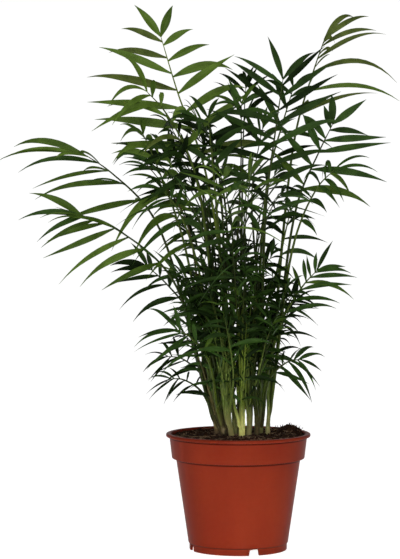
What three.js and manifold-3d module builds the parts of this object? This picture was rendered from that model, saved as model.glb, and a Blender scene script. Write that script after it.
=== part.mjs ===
// A parlour palm in its nursery pot. Millimetres, +Z up, origin at the centre of the pot's underside.
// A clump of short canes stands in the soil, and each frond rises from beside one of them.
import * as THREE from "three";
import { mergeVertices } from "three/addons/utils/BufferGeometryUtils.js";
import Module from "manifold-3d";

const wasm = await Module();
wasm.setup();

// ---- Driving dimensions -------------------------------------------------------------------------

const GAP = 0.3; // what every two touching pieces keep between them

const POT = {
  rimRadius: 85,
  height: 137,
  lip: 4, // how far the rolled lip stands out, and how deep it is
  collarTop: 81,
  collarFoot: 78,
  collarStart: 108,
  bodyTop: 73.2,
  bodyFoot: 58.6,
  footRadius: 57.4,
  footHeight: 8,
  wall: 1.8,
  padRadius: 20,
  edge: 1, // how far an edge is eased
  step: 0.6, // how much a wall steps out above and below the body
  segments: 32,
};
const FOOT_RING = 3; // how thick the ring is that the pot's foot is drawn down to
const NOTCH = { count: 4, first: -72, width: 13, flare: 1.5, height: 7.4, start: 8, depth: 12 };
const SOIL = {
  level: 133,
  flatRadius: 52,
  roughWidth: 12, // over what width the flat middle turns rough
  bump: 1.6,
  rings: 3,
  heap: 6,
  heapX: 62,
  heapY: 40,
  heapSpread: 14,
};

const CANE = { sides: 6, steps: 3, flare: 1.15, taper: 0.8 };
const STALK = {
  sides: 4,
  foot: 2,
  shoulder: 1.6,
  tip: 1.2,
  steps: 6,
  clearance: 0.8,
  shoulderPlace: 1 / 3, // where the leaflets begin, as a share of the limb's steps
  archPlace: 0.6, // where the rib arches most, from the shoulder to the tip
  seatShare: 0.97, // how near a stalk may come to its own cane, over its seat
};
const FACE = { outward: 0.6, up: 0.8 }; // how a frond's blade looks up and back towards its cane
const LEAF = {
  root: 1.1,
  thickness: 1.1,
  widest: 0.42,
  slimness: 0.088, // the width of a leaflet over the length of the frond's longest one
  spread: 1.2, // the angle to the rib at the shoulder, in radians
  spreadTip: 0.8,
  lastPlace: 0.985,
  leftPlace: 0.9, // where in the room of its pair a leaflet is rooted
  rightPlace: 0.7,
  forkRoom: 0.6, // how much less room the last pair takes
  sweepPlay: 0.12,
  forkPlay: 0.06,
  lift: [-0.16, 0.2],
  swellFrom: 0.25, // the part of a sine's arch that the leaflets' lengths follow
  swellPower: 1.4,
  narrowest: 0.6,
  clearance: 0.4,
  steps: 2,
};
const LEAF_TRIES = { lengths: [1, 0.86, 0.7], turns: [0, 0.14, -0.14] };

// Each cane: where it stands on the soil, how far it leans for each millimetre that it rises, its
// height above the soil and its radius at the foot.
const CANES = [
  { x: -24, y: 30, leanX: -0.2, leanY: 0.02, height: 95, radius: 3 },
  { x: -17, y: 12, leanX: -0.19, leanY: -0.03, height: 130, radius: 3.2 },
  { x: -12, y: 23, leanX: -0.12, leanY: 0.03, height: 115, radius: 2.9 },
  { x: -8, y: 2, leanX: -0.14, leanY: -0.05, height: 160, radius: 2.8 },
  { x: -3, y: 15, leanX: -0.07, leanY: 0.04, height: 140, radius: 2.9 },
  { x: 4.5, y: 4, leanX: 0, leanY: -0.03, height: 150, radius: 3.5 },
  { x: 12.5, y: 9, leanX: 0.05, leanY: 0, height: 170, radius: 2.9 },
  { x: 2, y: 29, leanX: -0.02, leanY: 0.1, height: 120, radius: 2.8 },
  { x: 22, y: 14, leanX: 0.05, leanY: -0.04, height: 120, radius: 3.1 },
  { x: -20, y: 42, leanX: -0.12, leanY: 0.12, height: 90, radius: 2.8 },
  { x: 14, y: 36, leanX: 0.05, leanY: 0.14, height: 125, radius: 3 },
  { x: 26.5, y: 28, leanX: 0.12, leanY: 0.06, height: 115, radius: 3 },
  { x: 35, y: 24, leanX: 0.07, leanY: 0.02, height: 115, radius: 2.4 },
];

// How the leaflets on one side of a rib differ from the plain rule: their length, the angle that is
// added to their spread, how far they lift out of the blade towards its face, and their droop.
const side = (length, sweep, lift, droop) => ({ length, sweep, lift, droop });
const PLAIN = side(1, 0, 0, 1);
const FORK = [0.45, 0.45]; // how far the two leaflets of the V swing out from the rib, in radians

// Each main frond: the cane that it rises beside and how far up, its shoulder, where the leaflets
// begin, and its tip, how far the middle of the leafy part arches above the line between them, the
// pairs of leaflets, the longest of them, the length of the last pair over that, how far the blade
// turns to the front, how its leaflets droop, its left and right side, and the V at its tip.
const MAIN_FRONDS = [
  { name: "top_left", cane: 5, rise: 60, shoulder: [-39, 12, 446], tip: [-92, 20, 606], arch: -6,
    pairs: 8, leaf: 118, vee: 0.4, turn: 0.92, droop: 0.08,
    left: side(1, 0, 0, 0.4), right: side(0.8, 0.28, 0, 1.2), fork: [0.4, 0.53] },
  { name: "right_top", cane: 11, rise: 50, shoulder: [69, 40, 488], tip: [106, 60, 606], arch: 5,
    pairs: 6, leaf: 98, vee: 0.76, turn: 0.65, droop: 0.26,
    left: side(0.45, -0.2, 1.9, 2), right: side(1.15, -0.2, 0, 1.4), fork: [-0.14, 0.54] },
  { name: "centre_top", cane: 8, rise: 70, shoulder: [32, -25, 406], tip: [51, -40, 553], arch: 5,
    pairs: 8, leaf: 84, vee: 0.74, turn: 1, droop: 0.04,
    left: side(1, 0.25, 0, 1), right: side(1, -0.12, 0, 1), fork: [0.45, 0.6] },
  { name: "left_upper", cane: 3, rise: 60, shoulder: [-52, -30, 446], tip: [-107, -45, 537], arch: 12,
    pairs: 5, leaf: 84, vee: 0.8, turn: 0.6, droop: 0.34,
    left: side(1, -0.2, 0.1, 1), right: side(0.6, -0.2, 0.8, 1.5) },
  { name: "left_inner", cane: 1, rise: 70, shoulder: [-65, -10, 366], tip: [-112, -20, 490], arch: 6,
    pairs: 7, leaf: 76, vee: 0.5, turn: 0.8, droop: 0.5,
    left: side(1, -0.3, 0, 1), right: side(0.6, 0.1, 0.4, 2) },
  { name: "far_left", cane: 0, rise: 45, shoulder: [-98, 4, 388], tip: [-183, 10, 466], arch: 8,
    pairs: 6, leaf: 105, vee: 0.92, turn: 0.8, droop: 0.14,
    left: side(0.95, -0.3, 0, 1), right: side(0.6, -0.2, 1.9, 1.5), fork: [0.45, -0.1] },
  { name: "left_low", cane: 0, rise: 30, shoulder: [-78, -30, 321], tip: [-183, -55, 395], arch: 12,
    pairs: 8, leaf: 88, vee: 0.7, turn: 0.8, droop: 0.1,
    left: side(0.95, -0.2, 0, 1), right: side(0.75, -0.25, 1.9, 2), fork: [0.2, 0.28] },
  { name: "left_arch", cane: 1, rise: 50, shoulder: [-47, -14, 332], tip: [-89, -20, 423], arch: 16,
    pairs: 6, leaf: 80, vee: 0.6, turn: 0.6, droop: 0.28,
    left: side(1, 0, 0, 1), right: side(0.7, 0, 0.4, 1) },
  { name: "right_mid", cane: 12, rise: 60, shoulder: [68, -15, 405], tip: [110, -20, 501], arch: 4,
    pairs: 6, leaf: 105, vee: 0.42, turn: 0.95, droop: 0.05,
    left: side(0.6, 0, 0.2, 1), right: side(0.88, 0, 0, 3) },
  { name: "right_arch", cane: 12, rise: 40, shoulder: [66, -25, 368], tip: [110, -40, 446], arch: 13,
    pairs: 6, leaf: 60, vee: 0.95, turn: 0.5, droop: 0.3,
    left: side(0.85, 0.3, 0.3, 2), right: side(0.5, 0.1, 0, 1.8), fork: [0.1, 0.5] },
  { name: "right_low", cane: 8, rise: 40, shoulder: [50, -12, 268], tip: [92, -20, 330], arch: 6,
    pairs: 7, leaf: 58, vee: 0.7, turn: 0.7, droop: 0.16,
    left: side(0.7, 0, 0.2, 1), right: side(1.1, -0.3, 0, 1.8) },
  { name: "right_skirt", cane: 11, rise: 16, shoulder: [37, -20, 204], tip: [72, -30, 226], arch: 6,
    pairs: 6, leaf: 50, vee: 0.7, turn: 0.6, droop: 0.2,
    left: side(0.8, 0, 0, 1), right: side(1, 0, 0, 1) },
  { name: "left_skirt", cane: 9, rise: 24, shoulder: [-40, 30, 200], tip: [-84, 34, 224], arch: 7,
    pairs: 5, leaf: 40, vee: 0.8, turn: 0.6, droop: 0.16, left: PLAIN, right: PLAIN },
  { name: "left_drape", cane: 9, rise: 40, shoulder: [-58, 0, 278], tip: [-108, 0, 332], arch: 4,
    pairs: 5, leaf: 62, vee: 0.7, turn: 0.8, droop: 0.16,
    left: side(1, -0.1, 0, 1), right: side(0.6, -0.2, 0.7, 1.5) },
  { name: "left_fan", cane: 0, rise: 28, shoulder: [-36, -30, 226], tip: [-72, -45, 262], arch: 6,
    pairs: 6, leaf: 58, vee: 0.9, turn: 0.9, droop: 0.08,
    left: side(1, -0.2, 0, 1), right: side(0.8, -0.2, 0.5, 1) },
  { name: "upper_centre", cane: 4, rise: 80, shoulder: [-26, -22, 404], tip: [-36, -30, 508], arch: 4,
    pairs: 6, leaf: 66, vee: 0.6, turn: 0.9, droop: 0.1, left: PLAIN, right: PLAIN },
  { name: "upper_back", cane: 10, rise: 80, shoulder: [35, 20, 434], tip: [66, 30, 545], arch: 4,
    pairs: 5, leaf: 66, vee: 0.6, turn: 0.9, droop: 0.1, left: PLAIN, right: PLAIN },
  { name: "left_skirt_low", cane: 1, rise: 12, shoulder: [-44, 5, 186], tip: [-80, 10, 200], arch: 5,
    pairs: 5, leaf: 30, vee: 0.9, turn: 0.6, droop: 0.2, left: PLAIN, right: PLAIN },
  { name: "right_inner", cane: 6, rise: 50, shoulder: [46, 5, 330], tip: [62, 10, 400], arch: 2,
    pairs: 5, leaf: 52, vee: 0.6, turn: 0.7, droop: 0.3, left: PLAIN, right: PLAIN },
];

// The other fronds fill the crown on every side by one rule: tiers from low to high, each with the
// height of its tips, how much higher they are at the front and back, where the canes show, how far
// they reach to the sides and to the front and back, and its leaflets.
const TIERS = [
  { fronds: 10, low: 250, high: 330, raise: 36, width: 50, depth: 104, pairs: 6, leaf: 52 },
  { fronds: 9, low: 335, high: 420, raise: 0, width: 56, depth: 165, pairs: 6, leaf: 60 },
  { fronds: 5, low: 440, high: 520, raise: 0, width: 56, depth: 150, pairs: 6, leaf: 66 },
];
// What each of them draws by chance: the shares of the reach, of the way out to the shoulder, how far
// the tip stands above the shoulder, how far out on the clump its cane stands, how far up it starts,
// and its arch, leaflets, turn and droop.
const DRAWN = {
  spin: [-0.3, 0.3],
  reach: [0.6, 1],
  back: [0.42, 0.52],
  hang: [75, 105],
  stand: [12, 34],
  rise: [15, 80],
  arch: [4, 16],
  leaf: [0.9, 1.1],
  turn: [0.15, 0.7],
  droop: [0.08, 0.3],
};
const CLUMP = { x: 2, y: 18 }; // the middle of the clump of canes
const INNER_VEE = 0.6;
const FAR_HANG = 20; // how much flatter a frond lies that reaches all the way out
const LOWEST_STALK = 60; // what a stalk's foot lies below its frond's tip, at least
const GOLDEN_ANGLE = 2.39996;
const TRIES = { count: 48, aCane: 16, depth: 5, shoulder: 0.6, rise: 9, rises: 4 };

// ---- Shared shapes ------------------------------------------------------------------------------

const UP = new THREE.Vector3(0, 0, 1);
const FRONT = new THREE.Vector3(0, -1, 0.15).normalize();

// The same number from 0 to 1 each time for the same two keys.
function chance(a, b) {
  const wave = Math.sin(a * 12.9898 + b * 78.233) * 43758.5453;
  return wave - Math.floor(wave);
}

// A number between low and high, the same each time for the same two keys.
const between = (low, high, a, b) => low + (high - low) * chance(a, b);

function solidOf(geometry) {
  const bare = geometry.clone();
  bare.deleteAttribute("normal");
  bare.deleteAttribute("uv");
  const merged = mergeVertices(bare, 1e-4);
  return new wasm.Manifold(new wasm.Mesh({
    numProp: 3,
    vertProperties: new Float32Array(merged.attributes.position.array),
    triVerts: new Uint32Array(merged.index.array),
  }));
}

function geometryOf(solid) {
  const mesh = solid.getMesh();
  const geometry = new THREE.BufferGeometry();
  geometry.setAttribute("position", new THREE.BufferAttribute(new Float32Array(mesh.vertProperties), 3));
  geometry.setIndex(new THREE.BufferAttribute(new Uint32Array(mesh.triVerts), 1));
  geometry.computeVertexNormals();
  return geometry;
}

// Carries a round bar, standing on Y with one unit of radius and length, to the place that the given
// function says for each step along it and each point round it.
function carried(bar, place) {
  const at = bar.attributes.position;
  for (let i = 0; i < at.count; i++) {
    const along = at.getY(i) + 0.5;
    const reach = Math.hypot(at.getX(i), at.getZ(i));
    const round = new THREE.Vector2(at.getX(i), at.getZ(i)).divideScalar(Math.max(reach, 1e-6));
    const point = place(along, round);
    at.setXYZ(i, point.x, point.y, point.z);
  }
  return bar;
}

// The direction at right angles to the line of travel that lies nearest to the given one.
function squareTo(travel, wanted) {
  return wanted.clone().addScaledVector(travel, -travel.dot(wanted)).normalize();
}

// ---- Pot and soil -------------------------------------------------------------------------------

function potSolid() {
  const p = POT;
  const lipFoot = p.height - p.lip;
  const inner = (radius) => radius - p.wall;
  const floorTop = p.footHeight + p.wall;
  const profile = [
    [0, 0],
    [p.padRadius, 0],
    [p.padRadius, p.footHeight],
    [p.footRadius - FOOT_RING, p.footHeight],
    [p.footRadius - FOOT_RING, 0],
    [p.footRadius - p.edge, 0],
    [p.footRadius, p.edge],
    [p.footRadius, p.footHeight],
    [p.bodyFoot, p.footHeight + p.step],
    [p.bodyTop, p.collarStart],
    [p.collarFoot - p.step, p.collarStart],
    [p.collarFoot, p.collarStart + p.step],
    [p.collarTop, lipFoot],
    [p.rimRadius - p.edge, lipFoot],
    [p.rimRadius, lipFoot + p.edge],
    [p.rimRadius, p.height - p.edge],
    [p.rimRadius - p.edge, p.height],
    [inner(p.collarTop) + p.edge, p.height],
    [inner(p.collarTop), p.height - p.edge],
    [inner(p.collarFoot), p.collarStart + p.wall],
    [inner(p.bodyTop), p.collarStart + p.wall],
    [inner(p.bodyFoot), floorTop],
    [0, floorTop],
  ];
  const points = profile.map(([radius, z]) => new THREE.Vector2(radius, z));
  const turned = new THREE.LatheGeometry(points, p.segments).rotateX(Math.PI / 2);
  let pot = solidOf(turned);
  for (let i = 0; i < NOTCH.count; i++) pot = pot.subtract(notchSolid(i));
  return pot;
}

// One drain notch through the foot ring, a little wider at the bottom.
function notchSolid(i) {
  const half = NOTCH.width / 2;
  const outline = new THREE.Shape([
    new THREE.Vector2(-half, -1),
    new THREE.Vector2(half, -1),
    new THREE.Vector2(half - NOTCH.flare, NOTCH.height),
    new THREE.Vector2(NOTCH.flare - half, NOTCH.height),
  ]);
  const angle = THREE.MathUtils.degToRad(NOTCH.first + (i * 360) / NOTCH.count);
  const cutter = new THREE.ExtrudeGeometry(outline, { depth: NOTCH.depth, bevelEnabled: false });
  cutter.rotateX(Math.PI / 2);
  cutter.translate(0, NOTCH.start - POT.footRadius, 0);
  cutter.rotateZ(angle);
  return solidOf(cutter);
}

// The soil fills the pot. It is flat where the canes stand, rough round them, and heaped up at the
// back on the right, where it leans on the rim.
function soilHeight(x, y) {
  const reach = Math.hypot(x, y);
  const rough = Math.min(1, Math.max(0, (reach - SOIL.flatRadius) / SOIL.roughWidth));
  const waves = Math.sin(x * 0.31 + y * 0.17) + Math.sin(y * 0.37 - x * 0.11);
  const away = Math.hypot(x - SOIL.heapX, y - SOIL.heapY) / SOIL.heapSpread;
  return SOIL.level + rough * (SOIL.bump * (0.5 + 0.5 * waves) + SOIL.heap * Math.exp(-away * away));
}

function soilSolid() {
  const inner = (radius) => radius - POT.wall - GAP;
  const floor = POT.footHeight + POT.wall + GAP;
  const shelf = POT.collarStart + POT.wall + GAP;
  const wallLow = POT.collarStart + POT.wall;
  const share = (SOIL.level - wallLow) / (POT.height - POT.edge - wallLow);
  const edge = inner(POT.collarFoot + (POT.collarTop - POT.collarFoot) * share);
  const points = [
    new THREE.Vector2(0, floor),
    new THREE.Vector2(inner(POT.bodyFoot), floor),
    new THREE.Vector2(inner(POT.bodyTop), shelf),
    new THREE.Vector2(inner(POT.collarFoot), shelf),
    new THREE.Vector2(edge, SOIL.level),
  ];
  for (let i = 1; i <= SOIL.rings; i++) {
    points.push(new THREE.Vector2(edge + ((SOIL.flatRadius - edge) * i) / SOIL.rings, SOIL.level));
  }
  points.push(new THREE.Vector2(0, SOIL.level));
  const turned = new THREE.LatheGeometry(points, POT.segments).rotateX(Math.PI / 2);
  const at = turned.attributes.position;
  for (let i = 0; i < at.count; i++) {
    const x = at.getX(i);
    const y = at.getY(i);
    const inside = Math.hypot(x, y) < edge - 1;
    if (at.getZ(i) > SOIL.level - 1 && inside) at.setZ(i, soilHeight(x, y));
  }
  return solidOf(turned);
}

// ---- Canes --------------------------------------------------------------------------------------

const caneStart = SOIL.level + GAP;

// The point on a cane's middle line at a height above its foot.
function caneAt(cane, height) {
  return new THREE.Vector3(cane.x + cane.leanX * height, cane.y + cane.leanY * height, caneStart + height);
}

function caneRadius(cane, height) {
  const along = height / cane.height;
  const flare = 1 + (CANE.flare - 1) * Math.max(0, 1 - along * CANE.steps);
  return cane.radius * (1 - (1 - CANE.taper) * along) * flare;
}

function caneSolid(cane) {
  const bar = new THREE.CylinderGeometry(1, 1, 1, CANE.sides, CANE.steps);
  return solidOf(carried(bar, (along, round) => {
    const height = along * cane.height;
    const radius = caneRadius(cane, height);
    const middle = caneAt(cane, height);
    return middle.add(new THREE.Vector3(round.y * radius, round.x * radius, 0));
  }));
}

// ---- Fronds -------------------------------------------------------------------------------------

// A frond's stalk and rib are one limb. This works out its stations for one try: each further try
// starts a little higher on the cane and steps a little to the back or the front, and after some
// tries it goes on to the next cane.
function limbOf(frond, attempt) {
  const cane = CANES[(frond.cane + Math.floor(attempt / TRIES.aCane)) % CANES.length];
  const round = attempt % TRIES.aCane;
  const step = Math.ceil(round / 2) * (round % 2 ? TRIES.depth : -TRIES.depth);
  const shoulder = new THREE.Vector3(...frond.shoulder).add(new THREE.Vector3(0, step * TRIES.shoulder, 0));
  const tip = new THREE.Vector3(...frond.tip).add(new THREE.Vector3(0, step, 0));
  const rise = frond.rise + TRIES.rise * (attempt % TRIES.rises);
  const middle = caneAt(cane, rise);
  const outward = new THREE.Vector3(shoulder.x - middle.x, shoulder.y - middle.y, 0).normalize();
  const away = new THREE.Vector3(tip.x - middle.x, tip.y - middle.y, 0).normalize();
  const natural = away.multiplyScalar(-FACE.outward).addScaledVector(UP, FACE.up);
  const face = natural.lerp(frond.facing ?? FRONT, frond.turn).normalize();
  const travel = shoulder.clone().sub(middle).normalize();
  const seat = caneSupport(cane, rise, outward) + stalkSupport(travel, face, outward) + GAP;
  const foot = middle.addScaledVector(outward, seat);
  const half = shoulder.clone().lerp(tip, STALK.archPlace).addScaledVector(UP, frond.arch);
  const curve = new THREE.CatmullRomCurve3([foot, shoulder, half, tip]);
  const points = curve.getPoints(STALK.steps);
  return { points, face, seat, own: cane.limb, radii: points.map((_, i) => stalkRadius(i / STALK.steps)) };
}

// How far a cane's six-sided section reaches from its middle towards a level direction.
function caneSupport(cane, height, outward) {
  const side = (2 * Math.PI) / CANE.sides;
  const heading = Math.atan2(outward.y, outward.x);
  const corner = Math.round(heading / side) * side;
  return caneRadius(cane, height) * Math.cos(heading - corner);
}

// How far the square foot of a stalk reaches back from its middle line towards the cane.
function stalkSupport(travel, face, outward) {
  const toFace = squareTo(travel, face);
  const across = travel.clone().cross(toFace);
  const halfSide = STALK.foot * Math.SQRT1_2;
  return halfSide * (Math.abs(outward.dot(across)) + Math.abs(outward.dot(toFace)));
}

// The stalk ends at the shoulder, and the rib runs on from there.
function stalkRadius(along) {
  const shoulder = STALK.shoulderPlace;
  if (along < shoulder) return STALK.foot + ((STALK.shoulder - STALK.foot) * along) / shoulder;
  return STALK.shoulder + ((STALK.tip - STALK.shoulder) * (along - shoulder)) / (1 - shoulder);
}

// The least distance between two straight pieces of limb.
function pieceDistance(a, b, c, d) {
  const u = b.clone().sub(a);
  const v = d.clone().sub(c);
  const w = a.clone().sub(c);
  const [uu, uv, vv, uw, vw] = [u.dot(u), u.dot(v), v.dot(v), u.dot(w), v.dot(w)];
  const spread = uu * vv - uv * uv;
  const clamp = (value) => Math.min(1, Math.max(0, value));
  const first = clamp(spread > 1e-9 ? (uv * vw - vv * uw) / spread : 0);
  const t = clamp((uv * first + vw) / vv);
  const s = clamp((uv * t - uw) / uu);
  return w.addScaledVector(u, s).addScaledVector(v, -t).length();
}

function limbsAreClear(one, other) {
  for (let i = 1; i < one.points.length; i++) {
    for (let j = 1; j < other.points.length; j++) {
      const room = one.radii[i - 1] + other.radii[j - 1] + STALK.clearance;
      const apart = pieceDistance(one.points[i - 1], one.points[i], other.points[j - 1], other.points[j]);
      if (apart < room) return false;
    }
  }
  return true;
}

// The first try whose limb is clear of every limb before it, or nothing.
function settledLimb(frond, others) {
  for (let attempt = 0; attempt < TRIES.count; attempt++) {
    const limb = limbOf(frond, attempt);
    const isClear = (other) => (other === limb.own ? leavesItsCane(limb, other) : limbsAreClear(limb, other));
    if (others.every(isClear)) return limb;
  }
  return null;
}

// A frond starts close beside its own cane, so there it only has to come no nearer than its foot is.
function leavesItsCane(limb, cane) {
  for (let i = 1; i < limb.points.length; i++) {
    for (let j = 1; j < cane.points.length; j++) {
      const apart = pieceDistance(limb.points[i - 1], limb.points[i], cane.points[j - 1], cane.points[j]);
      if (apart < limb.seat * STALK.seatShare) return false;
    }
  }
  return true;
}

// The rows of the fronds that fill the crown, tier by tier.
function fillingFronds() {
  const rows = [];
  let key = 0;
  for (const tier of TIERS) {
    for (let i = 0; i < tier.fronds; i++) {
      key += 1;
      rows.push(fillingFrond(tier, i, key));
    }
  }
  return rows;
}

function fillingFrond(tier, i, key) {
  const draw = (range, number) => between(...range, key, number);
  const angle = key * GOLDEN_ANGLE + draw(DRAWN.spin, 1);
  const [toSide, toBack] = [Math.cos(angle), Math.sin(angle)];
  const mixed = ((i * 5) % tier.fronds) / (tier.fronds - 1);
  const height = tier.low + (tier.high - tier.low) * mixed + tier.raise * toBack * toBack;
  const reach = draw(DRAWN.reach, 2);
  const tip = [CLUMP.x + toSide * tier.width * reach, toBack * tier.depth * reach, height];
  const back = draw(DRAWN.back, 3);
  const hang = draw(DRAWN.hang, 4) - FAR_HANG * reach;
  const shoulder = [CLUMP.x + (tip[0] - CLUMP.x) * back, tip[1] * back, height - hang];
  const stand = draw(DRAWN.stand, 5);
  return {
    name: "inner_" + String(key).padStart(2, "0"),
    cane: nearestCane(CLUMP.x + toSide * stand, CLUMP.y + toBack * stand),
    rise: Math.min(draw(DRAWN.rise, 6), height - caneStart - LOWEST_STALK),
    shoulder,
    tip,
    arch: draw(DRAWN.arch, 7),
    pairs: tier.pairs,
    leaf: tier.leaf * draw(DRAWN.leaf, 8),
    vee: INNER_VEE,
    facing: new THREE.Vector3(toBack, -toSide, 0).multiplyScalar(key % 2 ? 1 : -1),
    turn: draw(DRAWN.turn, 9),
    droop: draw(DRAWN.droop, 10),
    left: PLAIN,
    right: PLAIN,
  };
}

function nearestCane(x, y) {
  const distances = CANES.map((cane) => Math.hypot(cane.x - x, cane.y - y));
  return distances.indexOf(Math.min(...distances));
}

function limbSolid(limb) {
  const bar = new THREE.CylinderGeometry(1, 1, 1, STALK.sides, STALK.steps, false, Math.PI / 4);
  const curve = limb.points;
  return solidOf(carried(bar, (along, round) => {
    const i = Math.round(along * STALK.steps);
    const travel = curve[Math.min(i + 1, STALK.steps)].clone().sub(curve[Math.max(i - 1, 0)]).normalize();
    const face = squareTo(travel, limb.face);
    const across = travel.clone().cross(face);
    return curve[i].clone()
      .addScaledVector(across, -round.x * limb.radii[i])
      .addScaledVector(face, -round.y * limb.radii[i]);
  }));
}

// The place and the direction of travel at a fraction of a limb's length.
function alongLimb(limb, along) {
  const scaled = Math.min(along, 0.999) * STALK.steps;
  const i = Math.floor(scaled);
  const travel = limb.points[i + 1].clone().sub(limb.points[i]);
  return { point: limb.points[i].clone().addScaledVector(travel, scaled - i), travel: travel.normalize() };
}

// Every leaflet of a frond, in pairs from the shoulder to the tip, where the last pair makes a V.
function leafletsOf(frond, limb, key) {
  const leaflets = [];
  for (let pair = 0; pair < frond.pairs; pair++) {
    for (const hand of [-1, 1]) leaflets.push(leafletOf(frond, limb, key, pair, hand));
  }
  return leaflets;
}

function leafletOf(frond, limb, key, pair, hand) {
  const seed = key * 40 + pair * 2 + (hand > 0 ? 1 : 0);
  const last = pair === frond.pairs - 1;
  const own = last ? PLAIN : hand > 0 ? frond.right : frond.left;
  const share = (pair + (hand > 0 ? LEAF.rightPlace : LEAF.leftPlace)) / (frond.pairs - LEAF.forkRoom);
  const start = STALK.shoulderPlace;
  const { point, travel } = alongLimb(limb, last ? LEAF.lastPlace : start + share * (1 - start));
  const face = squareTo(travel, limb.face);
  const across = travel.clone().cross(face).multiplyScalar(hand);
  const fork = (frond.fork ?? FORK)[hand > 0 ? 1 : 0];
  const spread = last ? fork : LEAF.spread + (LEAF.spreadTip - LEAF.spread) * share + own.sweep;
  const play = last ? LEAF.forkPlay : LEAF.sweepPlay;
  const sweep = spread + between(-play, play, seed, 1);
  const lift = own.lift + between(...LEAF.lift, seed, 2);
  const outward = across.clone().multiplyScalar(Math.cos(lift)).addScaledVector(face, Math.sin(lift));
  const level = face.clone().multiplyScalar(Math.cos(lift)).addScaledVector(across, -Math.sin(lift));
  const direction = travel.clone().multiplyScalar(Math.cos(sweep)).addScaledVector(outward, Math.sin(sweep));
  const arch = (place) => Math.sin(Math.PI * (LEAF.swellFrom + (1 - LEAF.swellFrom) * place));
  const swell = last ? frond.vee : frond.vee + (1 - frond.vee) * arch(share) ** LEAF.swellPower;
  const narrowing = last ? 1 : LEAF.narrowest + (1 - LEAF.narrowest) * swell;
  return {
    root: point,
    direction,
    face: squareTo(direction, level),
    length: frond.leaf * own.length * swell * between(0.92, 1.08, seed, 3),
    width: frond.leaf * LEAF.slimness * narrowing,
    droop: frond.droop * own.droop,
  };
}

// The middle line and half width of a leaflet at its root, its widest place or its tip.
function leafletStation(leaflet, along) {
  const isTip = along > 0.9;
  const isRoot = along < 0.1;
  const reach = isTip || isRoot ? along : LEAF.widest;
  const middle = leaflet.root.clone()
    .addScaledVector(leaflet.direction, reach * leaflet.length)
    .addScaledVector(UP, -leaflet.droop * leaflet.length * reach * reach);
  if (isTip) return { isTip, middle, half: 0 };
  return { isTip, middle, half: isRoot ? LEAF.root : leaflet.width / 2 };
}

// A leaflet is a thin blade, flat above and keeled below, widest before its middle and pointed. Its
// section is a triangle on a round bar, so its corners lie from 1 to -1/2 of the radius.
function leafletGeometry(leaflet) {
  const across = leaflet.direction.clone().cross(leaflet.face);
  const blade = new THREE.CylinderGeometry(0, 1, 1, 3, LEAF.steps);
  const corner = Math.sin(Math.PI / 3);
  return carried(blade, (along, round) => {
    const { isTip, middle, half } = leafletStation(leaflet, along);
    const below = isTip ? 0 : ((round.y - 1 / 4) / (3 / 2)) * LEAF.thickness;
    return middle
      .addScaledVector(across, (-round.x / corner) * half)
      .addScaledVector(leaflet.face, -below);
  });
}

// The room that a leaflet needs: a slab that holds the blade and its clearance on every side.
function leafletRoom(leaflet) {
  const across = leaflet.direction.clone().cross(leaflet.face);
  const slab = new THREE.CylinderGeometry(1, 1, 1, 4, LEAF.steps, false, Math.PI / 4);
  return carried(slab, (along, round) => {
    const { isTip, middle, half } = leafletStation(leaflet, along);
    return middle
      .addScaledVector(leaflet.direction, isTip ? LEAF.clearance : 0)
      .addScaledVector(across, -Math.sign(round.x) * (half + LEAF.clearance))
      .addScaledVector(leaflet.face, -Math.sign(round.y) * (LEAF.thickness / 2 + LEAF.clearance));
  });
}

// ---- The crown ----------------------------------------------------------------------------------

function boxOf(geometry) {
  geometry.computeBoundingBox();
  return geometry.boundingBox;
}

// Fuses each frond's leaflets on its limb. A leaflet that would touch a piece of another frond or a
// cane is tried shorter and turned, and then skipped.
function crownSolids(canes, fronds) {
  const placed = [...canes, ...fronds].map((piece) => ({
    owner: piece.name,
    solid: piece.solid,
    box: boxOf(geometryOf(piece.solid)),
  }));
  for (const [index, frond] of fronds.entries()) {
    for (const leaflet of leafletsOf(frond.row, frond.limb, index + 1)) {
      const fitted = fittedLeaflet(leaflet, frond.name, placed);
      if (!fitted) continue;
      frond.solid = frond.solid.add(fitted.solid);
      placed.push({ owner: frond.name, ...fitted });
    }
  }
}

function fittedLeaflet(leaflet, owner, placed) {
  for (const share of LEAF_TRIES.lengths) {
    for (const turn of LEAF_TRIES.turns) {
      const direction = leaflet.direction.clone().addScaledVector(leaflet.face, turn).normalize();
      const face = squareTo(direction, leaflet.face);
      const tried = { ...leaflet, direction, face, length: leaflet.length * share };
      const slab = leafletRoom(tried);
      const box = boxOf(slab);
      const near = placed.filter((piece) => piece.owner !== owner && piece.box.intersectsBox(box));
      const room = near.length ? solidOf(slab) : null;
      if (near.every((piece) => room.intersect(piece.solid).isEmpty())) {
        const geometry = leafletGeometry(tried);
        return { solid: solidOf(geometry), box: boxOf(geometry) };
      }
    }
  }
  return null;
}

// ---- Materials and assembly ---------------------------------------------------------------------

const finish = (color, roughness) => new THREE.MeshStandardMaterial({ color, roughness, metalness: 0 });
const FINISHES = {
  pot: finish("#8a2e1c", 0.42),
  soil: finish("#2a1d16", 0.95),
  cane: finish("#5c6b34", 0.6),
  leaf: finish("#24401d", 0.5),
};

const palm = new THREE.Group();

function addPiece(name, solid, material, place = new THREE.Vector3()) {
  const geometry = geometryOf(solid);
  geometry.translate(-place.x, -place.y, -place.z);
  const mesh = new THREE.Mesh(geometry, material);
  mesh.name = name;
  mesh.position.copy(place);
  palm.add(mesh);
}

const canes = CANES.map((cane, i) => {
  const heights = Array.from({ length: CANE.steps + 1 }, (_, step) => (step / CANE.steps) * cane.height);
  cane.limb = {
    points: heights.map((height) => caneAt(cane, height)),
    radii: heights.map((height) => caneRadius(cane, height)),
  };
  return { name: "cane_" + String(i + 1).padStart(2, "0"), solid: caneSolid(cane), foot: caneAt(cane, 0) };
});

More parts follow.
